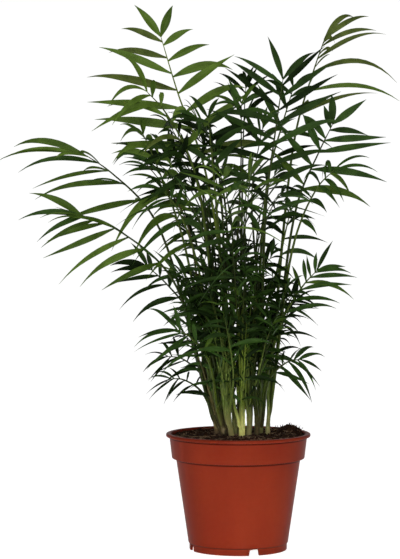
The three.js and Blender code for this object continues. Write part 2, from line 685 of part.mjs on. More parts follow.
const limbs = CANES.map((cane) => cane.limb);
const fronds = [];
for (const row of [...MAIN_FRONDS, ...fillingFronds()]) {
  const limb = settledLimb(row, limbs);
  if (!limb) continue;
  limbs.push(limb);
  fronds.push({ name: "frond_" + row.name, row, limb, solid: limbSolid(limb) });
}
crownSolids(canes, fronds);

addPiece("pot", potSolid(), FINISHES.pot);
addPiece("soil", soilSolid(), FINISHES.soil);
for (const cane of canes) addPiece(cane.name, cane.solid, FINISHES.cane, cane.foot);
for (const frond of fronds) addPiece(frond.name, frond.solid, FINISHES.leaf, frond.limb.points[0]);

export default palm;
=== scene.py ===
"""The looks of a parlour palm in its nursery pot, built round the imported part.

The classes hold their sizes in millimetres, and the meshes are made in metres. +Z is up, +X to the
right and -Y to the front. The crown follows the same seeded rule as the part's solids, carried to
finer leaflets and more fronds within the same reach.
"""

import sys  # noqa: E702

import logging
import math
from collections.abc import Iterable, Sequence
from dataclasses import dataclass, field
from enum import Enum

import bpy
import numpy as np
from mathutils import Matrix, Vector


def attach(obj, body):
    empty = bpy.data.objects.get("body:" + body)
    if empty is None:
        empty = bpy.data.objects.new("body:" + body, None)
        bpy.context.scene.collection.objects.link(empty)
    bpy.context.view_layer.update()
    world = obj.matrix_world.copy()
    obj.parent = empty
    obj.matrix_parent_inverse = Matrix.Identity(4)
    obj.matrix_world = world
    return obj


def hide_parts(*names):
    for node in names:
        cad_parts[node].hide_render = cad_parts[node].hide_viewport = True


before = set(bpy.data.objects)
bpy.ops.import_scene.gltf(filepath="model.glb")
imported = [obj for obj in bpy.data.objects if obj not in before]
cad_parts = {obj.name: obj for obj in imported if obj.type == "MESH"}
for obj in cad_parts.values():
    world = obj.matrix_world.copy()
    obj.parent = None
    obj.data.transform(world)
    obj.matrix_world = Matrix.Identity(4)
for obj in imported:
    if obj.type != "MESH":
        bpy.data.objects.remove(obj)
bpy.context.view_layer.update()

MM = 0.001
BODY = "root"
GAP = 0.3  # what two touching solids of the part keep between them
PEAT_LEVEL = 133
CLUMP_MIDDLE = (2, 18)  # how far right and back of the pot's axis the canes stand
SHOULDER_PLACE = 1 / 3  # where on a stalk and rib the leaflets begin
SEEDS_A_FROND = 40  # the leaflets' seeds, counted from one frond to the next
ROUND_SHARE = 0.48  # the most of a side that the rounding of a corner takes
TINY = 1e-9
CHANCE_STEPS = (12.9898, 78.233)  # these three as in the part's source, so that both rules agree
CHANCE_SPREAD = 43758.5453
WHITE = (1, 1, 1, 1)
LOG = logging.getLogger("parlour_palm")

Vector3 = np.ndarray
Span = tuple[float, float]
Point = tuple[float, float, float]
Rgba = tuple[float, float, float, float]


# ---- Numbers and directions ---------------------------------------------------------------------


def chance(a: float, b: float) -> float:
    """Gives the same number from 0 to 1 each time for the same two keys."""
    wave = math.sin(a * CHANCE_STEPS[0] + b * CHANCE_STEPS[1]) * CHANCE_SPREAD
    return wave - math.floor(wave)


def between(low: float, high: float, a: float, b: float) -> float:
    """Gives a number from low to high, the same each time for the same two keys."""
    return low + (high - low) * chance(a, b)


def vector(*parts: float) -> Vector3:
    """Gives a point or a direction as an array of three numbers."""
    return np.array(parts, float)


def unit(direction: Vector3) -> Vector3:
    """Gives a direction, or each of a row of them, the length 1."""
    return direction / np.linalg.norm(direction, axis=-1, keepdims=True)


def square_to(travel: Vector3, wanted: Vector3) -> Vector3:
    """Gives the direction square to the line of travel that lies nearest to the wanted one.

    Args:
        travel: One unit direction, or a row of them.
        wanted: The direction to lie near to.

    Returns:
        One unit direction for each line of travel.
    """
    return unit(wanted - travel * np.sum(travel * wanted, axis=-1, keepdims=True))


UP = vector(0, 0, 1)
FRONT = unit(vector(0, -1, 0.15))


def catmull_rom(controls: np.ndarray, places: np.ndarray) -> np.ndarray:
    """Gives points on a centripetal Catmull-Rom curve.

    Args:
        controls: The points that the curve runs through, one a row.
        places: Where the wanted points lie, from 0 to 1, with the same share for each span.

    Returns:
        The points, one a row.
    """
    spans = len(controls) - 1
    ends = np.vstack([2 * controls[0] - controls[1], controls, 2 * controls[-1] - controls[-2]])
    scaled = np.clip(places * spans, 0, spans - TINY)
    span = scaled.astype(int)
    w = (scaled - span)[:, None]
    p0, p1, p2, p3 = (ends[span + i] for i in range(4))
    k0, k1, k2 = (np.sqrt(np.linalg.norm(b - a, axis=1, keepdims=True))
                  for a, b in ((p0, p1), (p1, p2), (p2, p3)))
    first = ((p1 - p0) / k0 - (p2 - p0) / (k0 + k1) + (p2 - p1) / k1) * k1
    second = ((p2 - p1) / k1 - (p3 - p1) / (k1 + k2) + (p3 - p2) / k2) * k1
    square = 3 * (p2 - p1) - 2 * first - second
    cube = 2 * (p1 - p2) + first + second
    return p1 + w * (first + w * (square + w * cube))


# ---- Meshes -------------------------------------------------------------------------------------


RING_FACES: dict[tuple[int, int], list[tuple[int, ...]]] = {}


def ring_faces(rings: int, sides: int) -> list[tuple[int, ...]]:
    """Gives the faces that skin a row of rings and close its two ends.

    Args:
        rings: How many rings there are.
        sides: How many points each ring has.

    Returns:
        The faces, as numbers of the rings' points.
    """
    if (rings, sides) not in RING_FACES:
        faces = [tuple(reversed(range(sides))), tuple(range((rings - 1) * sides, rings * sides))]
        for low in range(0, (rings - 1) * sides, sides):
            for side in range(sides):
                beside = low + (side + 1) % sides
                faces.append((low + side, beside, beside + sides, low + side + sides))
        RING_FACES[rings, sides] = faces
    return RING_FACES[rings, sides]


def tube_rings(line: np.ndarray, radii: np.ndarray, sides: int, facing: Vector3) -> np.ndarray:
    """Gives the rings of a round bar along a line.

    Args:
        line: The points of its middle line, one a row.
        radii: Its radius at each point.
        sides: How many points each ring has.
        facing: The direction that the first point of each ring looks to.

    Returns:
        An array of rings by points by three.
    """
    travel = unit(np.gradient(line, axis=0))
    face = square_to(travel, facing)[:, None]
    across = np.cross(face[:, 0], travel)[:, None]
    turn = np.arange(sides)[None, :, None] * 2 * math.pi / sides
    outward = face * np.cos(turn) - across * np.sin(turn)
    return line[:, None] + outward * np.asarray(radii)[:, None, None]


@dataclass
class MeshBatch:
    """Many closed shapes, in millimetres, that become one mesh."""

    points: list[np.ndarray] = field(default_factory=list)
    faces: list[tuple[int, ...]] = field(default_factory=list)
    tints: list[int] = field(default_factory=list)
    count: int = 0

    def add(self, points: np.ndarray, faces: Iterable[Sequence[int]], tint: int = 0) -> None:
        """Adds one shape.

        Args:
            points: Its points, one a row.
            faces: Its faces, as numbers of those points.
            tint: The number of the material that it takes.
        """
        placed = [tuple(i + self.count for i in face) for face in faces]
        self.points.append(points)
        self.faces.extend(placed)
        self.tints.extend([tint] * len(placed))
        self.count += len(points)

    def add_rings(self, rings: np.ndarray, tint: int = 0) -> None:
        """Adds one shape that is skinned over rings of points.

        Args:
            rings: An array of rings by points by three.
            tint: The number of the material that it takes.
        """
        self.add(rings.reshape(-1, 3), ring_faces(*rings.shape[:2]), tint)

    def build(self, name: str, materials: Sequence[bpy.types.Material],
              crease: float = 40) -> bpy.types.Object:
        """Makes the mesh and its object.

        Args:
            name: The piece's name.
            materials: Its materials, in the order of the tints.
            crease: The angle in degrees above which an edge stays sharp.

        Returns:
            The new object.
        """
        mesh = bpy.data.meshes.new(name)
        mesh.from_pydata((np.concatenate(self.points) * MM).tolist(), [], self.faces)
        for material in materials:
            mesh.materials.append(material)
        mesh.polygons.foreach_set("material_index", self.tints)
        mesh.shade_smooth()
        mesh.set_sharp_from_angle(angle=math.radians(crease))
        piece = bpy.data.objects.new(name, mesh)
        bpy.context.scene.collection.objects.link(piece)
        return piece


def turned_rings(outline: Sequence[Span], segments: int) -> np.ndarray:
    """Turns an outline round the Z axis.

    Args:
        outline: Radius and height of each point, upwards on the outside.
        segments: How many steps the turn has.

    Returns:
        An array of rings by points by three.
    """
    turn = np.arange(segments) * 2 * math.pi / segments
    reach, height = np.array(outline, float).T
    level = np.repeat(height[:, None], segments, 1)
    return np.stack([reach[:, None] * np.cos(turn), reach[:, None] * np.sin(turn), level], 2)


def rounded(corners: Sequence[Point], steps: int = 4) -> list[Span]:
    """Rounds the corners of an outline.

    Args:
        corners: How far out and how high each corner is, and the radius that rounds it.
        steps: How many steps each round has.

    Returns:
        The points of the rounded outline.
    """
    outline: list[Span] = []
    for i, (reach, height, radius) in enumerate(corners):
        here = np.array((reach, height))
        if not radius:
            outline.append((reach, height))
            continue
        sides = [np.array(corners[j][:2]) - here for j in (i - 1, i + 1)]
        before, after = (unit(side) for side in sides)
        half = math.acos(np.clip(before @ after, -1, 1)) / 2
        cut = min(radius / math.tan(half), *(ROUND_SHARE * np.linalg.norm(side) for side in sides))
        for t in np.linspace(0, 1, steps + 1):
            outline.append(tuple(here + before * cut * (1 - t) ** 2 + after * cut * t ** 2))
    return outline


def settle(piece: bpy.types.Object, nodes: Iterable[str]) -> bpy.types.Object:
    """Ties a piece to the part: its body and the solids that it stands for.

    Args:
        piece: The piece.
        nodes: The solids that it replaces.

    Returns:
        The same piece.
    """
    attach(piece, BODY)
    replaced = [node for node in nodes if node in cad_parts]
    if replaced:
        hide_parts(*replaced)
    LOG.info("%s: %d faces, in place of %d solids", piece.name, len(piece.data.polygons), len(replaced))
    return piece


# ---- Finishes -----------------------------------------------------------------------------------


def linear(code: str) -> Rgba:
    """Turns an sRGB hex colour to the linear colour that a shader takes.

    Args:
        code: The colour, such as #8a321e.

    Returns:
        Red, green, blue and 1.
    """
    parts = [int(code[i:i + 2], 16) / 255 for i in (1, 3, 5)]
    red, green, blue = (p / 12.92 if p <= 0.04045 else ((p + 0.055) / 1.055) ** 2.4 for p in parts)
    return red, green, blue, 1.0


def add_node(tree: bpy.types.NodeTree, kind: str, inputs: dict[str | int, object],
             **settings: object) -> bpy.types.Node:
    """Adds one node to a material.

    Args:
        tree: The material's nodes.
        kind: The node's type.
        inputs: For each socket, by name or number, its value or the output that feeds it.
        settings: The node's own settings.

    Returns:
        The new node.
    """
    node = tree.nodes.new(kind)
    for key, value in settings.items():
        setattr(node, key, value)
    for key, value in inputs.items():
        if isinstance(value, bpy.types.NodeSocket):
            tree.links.new(value, node.inputs[key])
        else:
            node.inputs[key].default_value = value
    return node


@dataclass(frozen=True)
class Finish:
    """What every finish has: its name, its two colours and how they mix, its roughness and its IOR."""

    name: str
    color: str
    second: str
    roughness: float
    ior: float = 1.45
    contrast: Span = (0.3, 0.7)  # the noise that gives the one colour alone, and the other alone

    def start(self) -> tuple[bpy.types.Material, bpy.types.NodeTree, bpy.types.Node]:
        """Makes the material with its shader.

        Returns:
            The material, its nodes and the shader.
        """
        material = bpy.data.materials.new(self.name)
        material.use_nodes = True
        tree = material.node_tree
        shader = tree.nodes["Principled BSDF"]
        shader.inputs["Roughness"].default_value = self.roughness
        shader.inputs["IOR"].default_value = self.ior
        return material, tree, shader

    def noise(self, tree: bpy.types.NodeTree, size: float, stretch: Point = (1, 1, 1),
              detail: float = 3) -> bpy.types.NodeSocket:
        """Adds a noise over the piece.

        Args:
            tree: The material's nodes.
            size: The size of its patches in millimetres.
            stretch: How much longer the patches are along each axis.
            detail: How many finer layers it has.

        Returns:
            The noise, about 0.5.
        """
        place = add_node(tree, "ShaderNodeTexCoord", {})
        scaled = add_node(tree, "ShaderNodeMapping", {
            "Vector": place.outputs["Object"], "Scale": tuple(1 / s for s in stretch)})
        noise = add_node(tree, "ShaderNodeTexNoise", {
            "Vector": scaled.outputs["Vector"], "Scale": 1 / (size * MM), "Detail": detail})
        return noise.outputs["Fac"]

    def height(self, tree: bpy.types.NodeTree) -> bpy.types.NodeSocket:
        """Adds the height of each place above the ground, in metres."""
        place = add_node(tree, "ShaderNodeNewGeometry", {})
        return add_node(tree, "ShaderNodeSeparateXYZ", {0: place.outputs["Position"]}).outputs["Z"]

    def blend(self, tree: bpy.types.NodeTree, share: bpy.types.NodeSocket, reach: Span,
              first: object, second: object) -> bpy.types.NodeSocket:
        """Adds a blend of two colours.

        Args:
            tree: The material's nodes.
            share: The value that chooses between them.
            reach: The values that give the first colour alone and the second alone.
            first: The first colour, or the output that gives it.
            second: The second colour, or the output that gives it.

        Returns:
            The blended colour.
        """
        ranged = add_node(tree, "ShaderNodeMapRange", {
            "Value": share, "From Min": reach[0], "From Max": reach[1]})
        return add_node(tree, "ShaderNodeMix", {0: ranged.outputs["Result"], 6: first, 7: second},
                        data_type="RGBA").outputs[2]

    def mottle(self, tree: bpy.types.NodeTree, noise: bpy.types.NodeSocket) -> bpy.types.NodeSocket:
        """Adds the mix of the finish's own two colours by a noise."""
        return self.blend(tree, noise, self.contrast, linear(self.color), linear(self.second))

    def relief(self, tree: bpy.types.NodeTree, shader: bpy.types.Node, height: bpy.types.NodeSocket,
               depth: float) -> None:
        """Bends the light by a height.

        Args:
            tree: The material's nodes.
            shader: The shader whose normal it drives.
            height: The height, from 0 to 1.
            depth: The depth in millimetres that 1 stands for.
        """
        bump = add_node(tree, "ShaderNodeBump", {"Height": height, "Distance": depth * MM})
        tree.links.new(bump.outputs["Normal"], shader.inputs["Normal"])


@dataclass(frozen=True)
class MouldedPolypropylene(Finish):
    """Injection-moulded polypropylene: a satin skin with faint cloudy flow marks, a fine orange peel
    and thin dark lines of painted shade in its steps, which set them off."""

    cloud: float = 38  # the size of the flow marks, in millimetres
    cloud_stretch: Point = (1, 1, 2.5)
    peel: float = 1.6  # drawn coarser than the real 0.5 mm, so that it still shows
    peel_depth: float = 0.02
    wear: Span = (-0.05, 0.07)  # how far the flow marks change the roughness
    # the colour of the painted shade in the steps' creases
    crease_shade: str = "#330d06"
    crease_shade_core: float = 0.4  # the part of each line's half width that is all painted shade
    creases: tuple[Span, ...] = ()  # the height and half width of each line of painted shade

    def material(self) -> bpy.types.Material:
        """Makes the material.

        Returns:
            The new material.
        """
        material, tree, shader = self.start()
        clouds = self.noise(tree, self.cloud, self.cloud_stretch)
        color = self.mottle(tree, clouds)
        height = self.height(tree)
        # painted shade: a dark line at each crease, where the step above shades the wall
        for line, half in self.creases:
            offset = add_node(tree, "ShaderNodeMath", {0: height, 1: line * MM}, operation="SUBTRACT")
            away = add_node(tree, "ShaderNodeMath", {0: offset.outputs[0]}, operation="ABSOLUTE")
            reach = (self.crease_shade_core * half * MM, half * MM)
            color = self.blend(tree, away.outputs[0], reach, linear(self.crease_shade), color)
        tree.links.new(color, shader.inputs["Base Color"])
        smoothest, roughest = (self.roughness + change for change in self.wear)
        worn = add_node(tree, "ShaderNodeMapRange", {
            "Value": clouds, "To Min": smoothest, "To Max": roughest})
        tree.links.new(worn.outputs["Result"], shader.inputs["Roughness"])
        self.relief(tree, shader, self.noise(tree, self.peel, detail=1), self.peel_depth)
        return material


@dataclass(frozen=True)
class MoistPeat(Finish):
    """Moist peat: nearly black, with browner crumbs, and no gloss but a faint damp sheen."""

    contrast: Span = (0.42, 0.68)
    crumb: float = 2.4  # the size of its crumbs, in millimetres
    crumb_depth: float = 0.9

    def material(self) -> bpy.types.Material:
        """Makes the material.

        Returns:
            The new material.
        """
        material, tree, shader = self.start()
        crumbs = self.noise(tree, self.crumb, detail=4)
        tree.links.new(self.mottle(tree, crumbs), shader.inputs["Base Color"])
        self.relief(tree, shader, crumbs, self.crumb_depth)
        return material


@dataclass(frozen=True)
class PlantFibre(Finish):
    """Cane, stalk, rib and dry fibre: a smooth skin over long fibres, which show as fine streaks."""

    contrast: Span = (0.36, 0.66)
    foot: str = ""  # the colour at the soil, where it differs: partly its own, partly painted light from the floor
    foot_height: float = 137
    foot_fade: float = 34
    top: str = ""  # the darker colour inside the crown, where it differs: painted shade
    top_height: float = 230
    top_fade: float = 70
    streak: float = 1.1  # drawn coarser than the real 0.3 mm, so that it still shows
    streak_stretch: Point = (1, 1, 22)
    streak_depth: float = 0.12

    def material(self) -> bpy.types.Material:
        """Makes the material.

        Returns:
            The new material.
        """
        material, tree, shader = self.start()
        streaks = self.noise(tree, self.streak, self.streak_stretch)
        color = self.mottle(tree, streaks)
        # painted shade: darker higher up, inside the crown
        if self.top:
            reach = (self.top_height * MM, (self.top_height + self.top_fade) * MM)
            color = self.blend(tree, self.height(tree), reach, color, linear(self.top))
        # lighter at the soil, partly its own colour and partly painted light from the floor
        if self.foot:
            reach = (self.foot_height * MM, (self.foot_height + self.foot_fade) * MM)
            color = self.blend(tree, self.height(tree), reach, linear(self.foot), color)
        tree.links.new(color, shader.inputs["Base Color"])
        self.relief(tree, shader, streaks, self.streak_depth)
        return material


@dataclass(frozen=True)
class PalmBlade(Finish):
    """Palm leaflet: a thin waxy skin over green flesh, so that it is satin, with paler patches."""

    contrast: Span = (0.34, 0.68)
    patch: float = 16  # the size of the paler patches, in millimetres
    vein: float = 1.4  # drawn coarser than the real 0.7 mm, so that it still shows
    vein_depth: float = 0.05

    def material(self) -> bpy.types.Material:
        """Makes the material.

        Returns:
            The new material.
        """
        material, tree, shader = self.start()
        tree.links.new(self.mottle(tree, self.noise(tree, self.patch)), shader.inputs["Base Color"])
        self.relief(tree, shader, self.noise(tree, self.vein, detail=1), self.vein_depth)
        return material


# ---- The pot ------------------------------------------------------------------------------------


@dataclass
class NurseryPot:
    """The pot: its lip, collar, tapered body, foot ring with drain notches, and the pad it stands on."""

    rim_radius: float = 85
    height: float = 137
    lip: float = 4
    collar_top: float = 81
    collar_foot: float = 78
    collar_start: float = 108
    body_top: float = 73.2
    body_foot: float = 58.6
    foot_radius: float = 57.4
    foot_height: float = 8
    foot_thickness: float = 3
    wall: float = 1.8
    pad_radius: float = 20
    axis_radius: float = 0.5
    segments: int = 192
    crease: float = 32
    notches: int = 4
    first_notch: float = -72
    notch_width: float = 13
    notch_flare: float = 1.5
    notch_height: float = 7.4
    cutter_room: float = 4  # how far the cutters reach past the foot ring on both sides
    cutter_drop: float = 1
    finish: MouldedPolypropylene = MouldedPolypropylene(
        "moulded_polypropylene_terracotta", "#641f10", "#6c2413", roughness=0.42, ior=1.09,
        creases=((132, 1.1), (106.6, 1.5), (8.2, 0.8)))  # painted shade under the lip, under the collar and at the foot

    def outline(self) -> list[Span]:
        """Gives the outline, from the axis under the pot round the lip to the axis on its floor.

        Returns:
            How far out and how high each point is.
        """
        lip_foot = self.height - self.lip
        floor = self.foot_height + self.wall
        shelf = self.collar_start + self.wall
        inner = self.foot_radius - self.foot_thickness
        return rounded([
            (self.axis_radius, 0, 0),
            (self.pad_radius, 0, 0.8),
            (self.pad_radius, self.foot_height, 0.8),
            (inner, self.foot_height, 0.8),
            (inner, 0, 0.6),
            (self.foot_radius, 0, 1.1),
            (self.foot_radius, self.foot_height, 0.5),
            (self.body_foot, self.foot_height + 0.6, 0.7),
            (self.body_top, self.collar_start - 0.5, 0.9),
            (self.collar_foot, self.collar_start, 1.1),
            (self.collar_top, lip_foot, 0.7),
            (self.rim_radius, lip_foot + 0.3, 1.5),
            (self.rim_radius, self.height, 2),
            (self.collar_top - self.wall, self.height, 1.4),
            (self.collar_foot - self.wall, shelf, 0.8),
            (self.body_top - self.wall, shelf, 0.8),
            (self.body_foot - self.wall, floor, 1),
            (self.axis_radius, floor, 0),
        ])

    def notch(self, number: int) -> np.ndarray:
        """Gives the two rings of one drain notch's cutter, wider at the bottom.

        Args:
            number: The notch's number, from 0.

        Returns:
            An array of rings by points by three.
        """
        half = self.notch_width / 2
        top = half - self.notch_flare
        low, high = -self.cutter_drop, self.notch_height
        section = [(-half, low), (half, low), (top, high), (-top, high)]
        angle = math.radians(self.first_notch + number * 360 / self.notches)
        out = vector(math.sin(angle), -math.cos(angle), 0)
        side = vector(math.cos(angle), math.sin(angle), 0)
        inner = self.foot_radius - self.foot_thickness
        reaches = (inner - self.cutter_room, self.foot_radius + self.cutter_room)
        return np.array([[out * reach + side * x + UP * z for x, z in section] for reach in reaches])

    def build(self) -> bpy.types.Object:
        """Turns the pot and cuts its notches.

        Returns:
            The pot's piece.
        """
        batch = MeshBatch()
        batch.add_rings(turned_rings(self.outline(), self.segments))
        pot = batch.build("nursery_pot", [self.finish.material()], self.crease)
        cutters = MeshBatch()
        for number in range(self.notches):
            cutters.add_rings(self.notch(number))
        cutter = cutters.build("notch_cutter", [])
        cut = pot.modifiers.new("drain_notches", "BOOLEAN")
        cut.object = cutter
        cut.operation = "DIFFERENCE"
        cut.solver = "EXACT"
        whole = bpy.data.meshes.new_from_object(pot.evaluated_get(bpy.context.evaluated_depsgraph_get()))
        pot.modifiers.clear()
        pot.data = whole
        whole.set_sharp_from_angle(angle=math.radians(self.crease))
        bpy.data.objects.remove(cutter)
        return settle(pot, ["pot"])


# ---- The peat -----------------------------------------------------------------------------------


@dataclass(frozen=True)
class PeatHeap:
    """The loose peat that leans on the rim at the back right and spills over it a little."""

    turn: float = 35  # its middle, in degrees round the pot from the right
    turn_play: float = 0.17
    reach: float = 75
    reach_play: float = 5
    reach_limits: Span = (60, 83)
    foot: float = 134.5
    lift: float = 6.5
    top_turn: float = 34
    top_turn_spread: float = 0.22
    top_reach: float = 77
    top_reach_spread: float = 9
    pointedness: float = 1.6  # over 1, fewer crumbs lie near its top

    def places(self, draw: np.random.Generator, count: int) -> np.ndarray:
        """Draws places on the heap.

        Args:
            draw: The seeded source of numbers.
            count: How many places are wanted.

        Returns:
            The places, one a row.
        """
        turn = math.radians(self.turn) + draw.normal(0, self.turn_play, count)
        reach = np.clip(self.reach + draw.normal(0, self.reach_play, count), *self.reach_limits)
        off_turn = (turn - math.radians(self.top_turn)) / self.top_turn_spread
        off_reach = (reach - self.top_reach) / self.top_reach_spread
        lift = self.lift * np.exp(-off_turn ** 2) * np.exp(-off_reach ** 2)
        height = self.foot + lift * draw.random(count) ** self.pointedness
        return np.stack([reach * np.cos(turn), reach * np.sin(turn), height], 1)


@dataclass
class PeatBed:
    """The peat in the pot: its rough top, the heap at the back right, and its crumbs and fibres."""

    pot: NurseryPot
    level: float = PEAT_LEVEL
    flat_radius: float = 52
    rough_width: float = 12
    bump: float = 1.6
    bump_waves: tuple[Span, ...] = ((0.31, 0.17), (-0.11, 0.37))  # radians a millimetre, right and back
    clods: tuple[tuple[float, float, float, float], ...] = (  # the same, with a shift and a height
        (0.9, 0.5, 1, 0.32), (-0.6, 1.1, 2, 0.3), (1.7, -1.3, 4, 0.2), (2.3, 1.9, 0, 0.16),
        (-3.1, 2.7, 5, 0.1))
    swell: float = 6
    swell_at: Span = (62, 40)
    swell_spread: float = 14
    segments: int = 150
    rings: int = 46
    heap: PeatHeap = PeatHeap()
    crumbs: int = 900
    heap_crumbs: int = 460
    crumb_outline: tuple[Span, ...] = (  # radius and height, for a crumb of size 1
        (0.3, -0.9), (0.8, -0.55), (1, 0), (0.75, 0.5), (0.25, 0.85))
    crumb_sides: int = 7
    crumb_size: Span = (0.7, 2.1)
    largest_clod: float = 3  # in the heap
    crumb_play: Span = (0.72, 1.25)
    crumb_stretch: Span = (0.6, 1.2)
    fibres: int = 300
    fibre_length: Span = (5, 16)
    fibre_radius: Span = (0.3, 0.6)
    fibre_lift: Span = (0.3, 1.6)
    fibre_bend: float = 0.9
    fibre_ends: float = 1.2  # how far it would rise over a whole length from its middle
    fibre_steps: int = 7
    dark_share: float = 0.4
    wisps: int = 34
    wisp_rise: Span = (3, 9)
    wisp_lean: float = 0.5
    wisp_sag: float = 0.6  # how far its tip hangs under the straight line
    wisp_radius: float = 0.36
    wisp_steps: int = 6
    thread_sides: int = 5
    thread_end: float = 0.35  # how thick a thread is at its ends, as a part of its middle
    seed: int = 11
    peat: MoistPeat = MoistPeat("moist_peat", "#150d08", "#402a19", roughness=0.93, ior=1.15)
    lump: MoistPeat = MoistPeat("peat_crumbs", "#140c07", "#452c1b", roughness=0.9, ior=1.15, crumb=1.6)
    straw: PlantFibre = PlantFibre("dry_peat_fibre", "#55422f", "#806b54", roughness=0.8, ior=1.2)
    root: PlantFibre = PlantFibre("dark_peat_fibre", "#1d130c", "#35231a", roughness=0.85, ior=1.2)

    def edge(self) -> float:
        """Gives the radius where the peat meets the collar's inside.

        Returns:
            The radius.
        """
        wall_low = self.pot.collar_start + self.pot.wall
        share = (self.level - wall_low) / (self.pot.height - 1 - wall_low)
        spread = self.pot.collar_top - self.pot.collar_foot
        return self.pot.collar_foot + spread * share - self.pot.wall - GAP

    def height_at(self, x: np.ndarray, y: np.ndarray) -> np.ndarray:
        """Gives the height of the peat's surface.

        Args:
            x: How far right each place is.
            y: How far back each place is.

        Returns:
            The height at each place.
        """
        reach = np.hypot(x, y)
        rough = np.clip((reach - self.flat_radius) / self.rough_width, 0, 1)
        waves = sum(np.sin(x * a + y * b) for a, b in self.bump_waves)
        clods = sum(np.sin(x * a + y * b + shift) * high for a, b, shift, high in self.clods)
        away = np.hypot(x - self.swell_at[0], y - self.swell_at[1]) / self.swell_spread
        swell = self.swell * np.exp(-away * away)
        return self.level + clods + rough * (self.bump * (0.5 + 0.5 * waves) + swell)

    def bed(self) -> bpy.types.Object:
        """Makes the body of the peat, with its rough top.

        Returns:
            Its piece.
        """
        axis = self.pot.axis_radius
        inside = self.pot.wall + GAP
        floor = self.pot.foot_height + inside
        shelf = self.pot.collar_start + inside
        sides = [(axis, floor), (self.pot.body_foot - inside, floor), (self.pot.body_top - inside, shelf),
                 (self.pot.collar_foot - inside, shelf)]
        top = [(reach, self.level) for reach in np.linspace(self.edge(), axis, self.rings)]
        rings = turned_rings(sides + top, self.segments)
        surface = rings[len(sides):]
        surface[..., 2] = self.height_at(surface[..., 0], surface[..., 1])
        batch = MeshBatch()
        batch.add_rings(rings)
        bed = batch.build("peat_bed", [self.peat.material()], crease=180)
        return settle(bed, ["soil"])

    def scatter(self, draw: np.random.Generator, count: int) -> np.ndarray:
        """Draws places on the open peat.

        Args:
            draw: The seeded source of numbers.
            count: How many places are wanted.

        Returns:
            The places, one a row, on the surface.
        """
        reach = (self.edge() - 2) * np.sqrt(draw.random(count))
        turn = draw.random(count) * 2 * math.pi
        x, y = reach * np.cos(turn), reach * np.sin(turn)
        return np.stack([x, y, self.height_at(x, y)], 1)

    def crumb_piece(self, draw: np.random.Generator) -> bpy.types.Object:
        """Makes the loose crumbs: lumps of rings with uneven points.

        Args:
            draw: The seeded source of numbers.

        Returns:
            Their piece.
        """
        batch = MeshBatch()
        plain = turned_rings(self.crumb_outline, self.crumb_sides)
        places = np.vstack([self.scatter(draw, self.crumbs), self.heap.places(draw, self.heap_crumbs)])
        smallest, largest = self.crumb_size
        for number, place in enumerate(places):
            size = draw.uniform(smallest, largest if number < self.crumbs else self.largest_clod)
            rings = plain * draw.uniform(*self.crumb_play, plain.shape)
            rings = rings * draw.uniform(*self.crumb_stretch, 3) * size
            turn = draw.uniform(0, math.pi)
            rings[..., :2] = rings[..., :2] @ np.array([[math.cos(turn), math.sin(turn)],
                                                        [-math.sin(turn), math.cos(turn)]])
            batch.add_rings(rings + place)
        return settle(batch.build("peat_crumbs", [self.lump.material()], crease=50), [])

    def fibre_piece(self, draw: np.random.Generator) -> bpy.types.Object:
        """Makes the fibres: short bent threads on the peat, and wisps that stand up from the heap.

        Args:
            draw: The seeded source of numbers.

        Returns:
            Their piece.
        """
        batch = MeshBatch()
        along = np.linspace(-0.5, 0.5, self.fibre_steps)
        for place in self.scatter(draw, self.fibres):
            turn, bend = draw.uniform(0, 2 * math.pi), draw.normal(0, self.fibre_bend)
            length = draw.uniform(*self.fibre_length)
            heading = turn + bend * along * 2
            level = np.stack([np.cos(heading), np.sin(heading), np.zeros(self.fibre_steps)], 1)
            line = level * (along * length)[:, None] + place
            lift = draw.uniform(*self.fibre_lift)
            line[:, 2] = self.height_at(line[:, 0], line[:, 1]) + lift + self.fibre_ends * np.abs(along)
            inside = np.hypot(line[:, 0], line[:, 1]).max() < self.edge() - 0.5
            if inside:
                radius = draw.uniform(*self.fibre_radius)
                self.add_thread(batch, line, radius, int(draw.random() < self.dark_share))
        along = np.linspace(0, 1, self.wisp_steps)[:, None]
        for place in self.heap.places(draw, self.wisps):
            lean = draw.normal(0, self.wisp_lean, 2)
            rise = draw.uniform(*self.wisp_rise)
            line = place + along * vector(lean[0] * rise, lean[1] * rise, rise)
            self.add_thread(batch, line + along ** 2 * vector(*lean, -self.wisp_sag), self.wisp_radius, 1)
        materials = [self.straw.material(), self.root.material()]
        return settle(batch.build("peat_fibres", materials, crease=60), [])

    def add_thread(self, batch: MeshBatch, line: np.ndarray, radius: float, tint: int) -> None:
        """Adds one thread, thin at both ends.

        Args:
            batch: What it is added to.
            line: The points of its middle line, one a row.
            radius: Its radius in the middle.
            tint: The number of the material that it takes.
        """
        swell = np.sin(math.pi * np.linspace(0, 1, len(line)))
        radii = radius * (self.thread_end + (1 - self.thread_end) * swell)
        batch.add_rings(tube_rings(line, radii, self.thread_sides, UP), tint)

    def build(self) -> list[bpy.types.Object]:
        """Makes the peat's three pieces."""
        draw = np.random.default_rng(self.seed)
        return [self.bed(), self.crumb_piece(draw), self.fibre_piece(draw)]


# ---- Canes --------------------------------------------------------------------------------------


class Tone(Enum):
    """How canes, stalks and ribs look: the colour, that of the streaks and that at the soil, which is
    partly their own paler, browner colour and partly painted light from the floor.
    """

    LEAF_GREEN = ("#323f10", "#4a5a20", "#646438")
    DARK = ("#232d0b", "#364219", "#463c26")
    PALE = ("#42521c", "#617131", "#868050")
    YELLOW = ("#48581a", "#6c7e2c", "#d8d67e")
    BROWN = ("#3d3a1b", "#57512d", "#6a5a3c")

    def finish(self, use: str, top: str = "") -> PlantFibre:
        """Gives the tone's finish.

        Args:
            use: What it is used on, which its name begins with.
            top: The darker colour inside the crown, where it differs, as painted shade.

        Returns:
            The finish.
        """
        color, streaks, foot = self.value
        return PlantFibre(f"{use}_{self.name.lower()}", color, streaks, roughness=0.48, ior=1.2,
                          foot=foot, top=top)


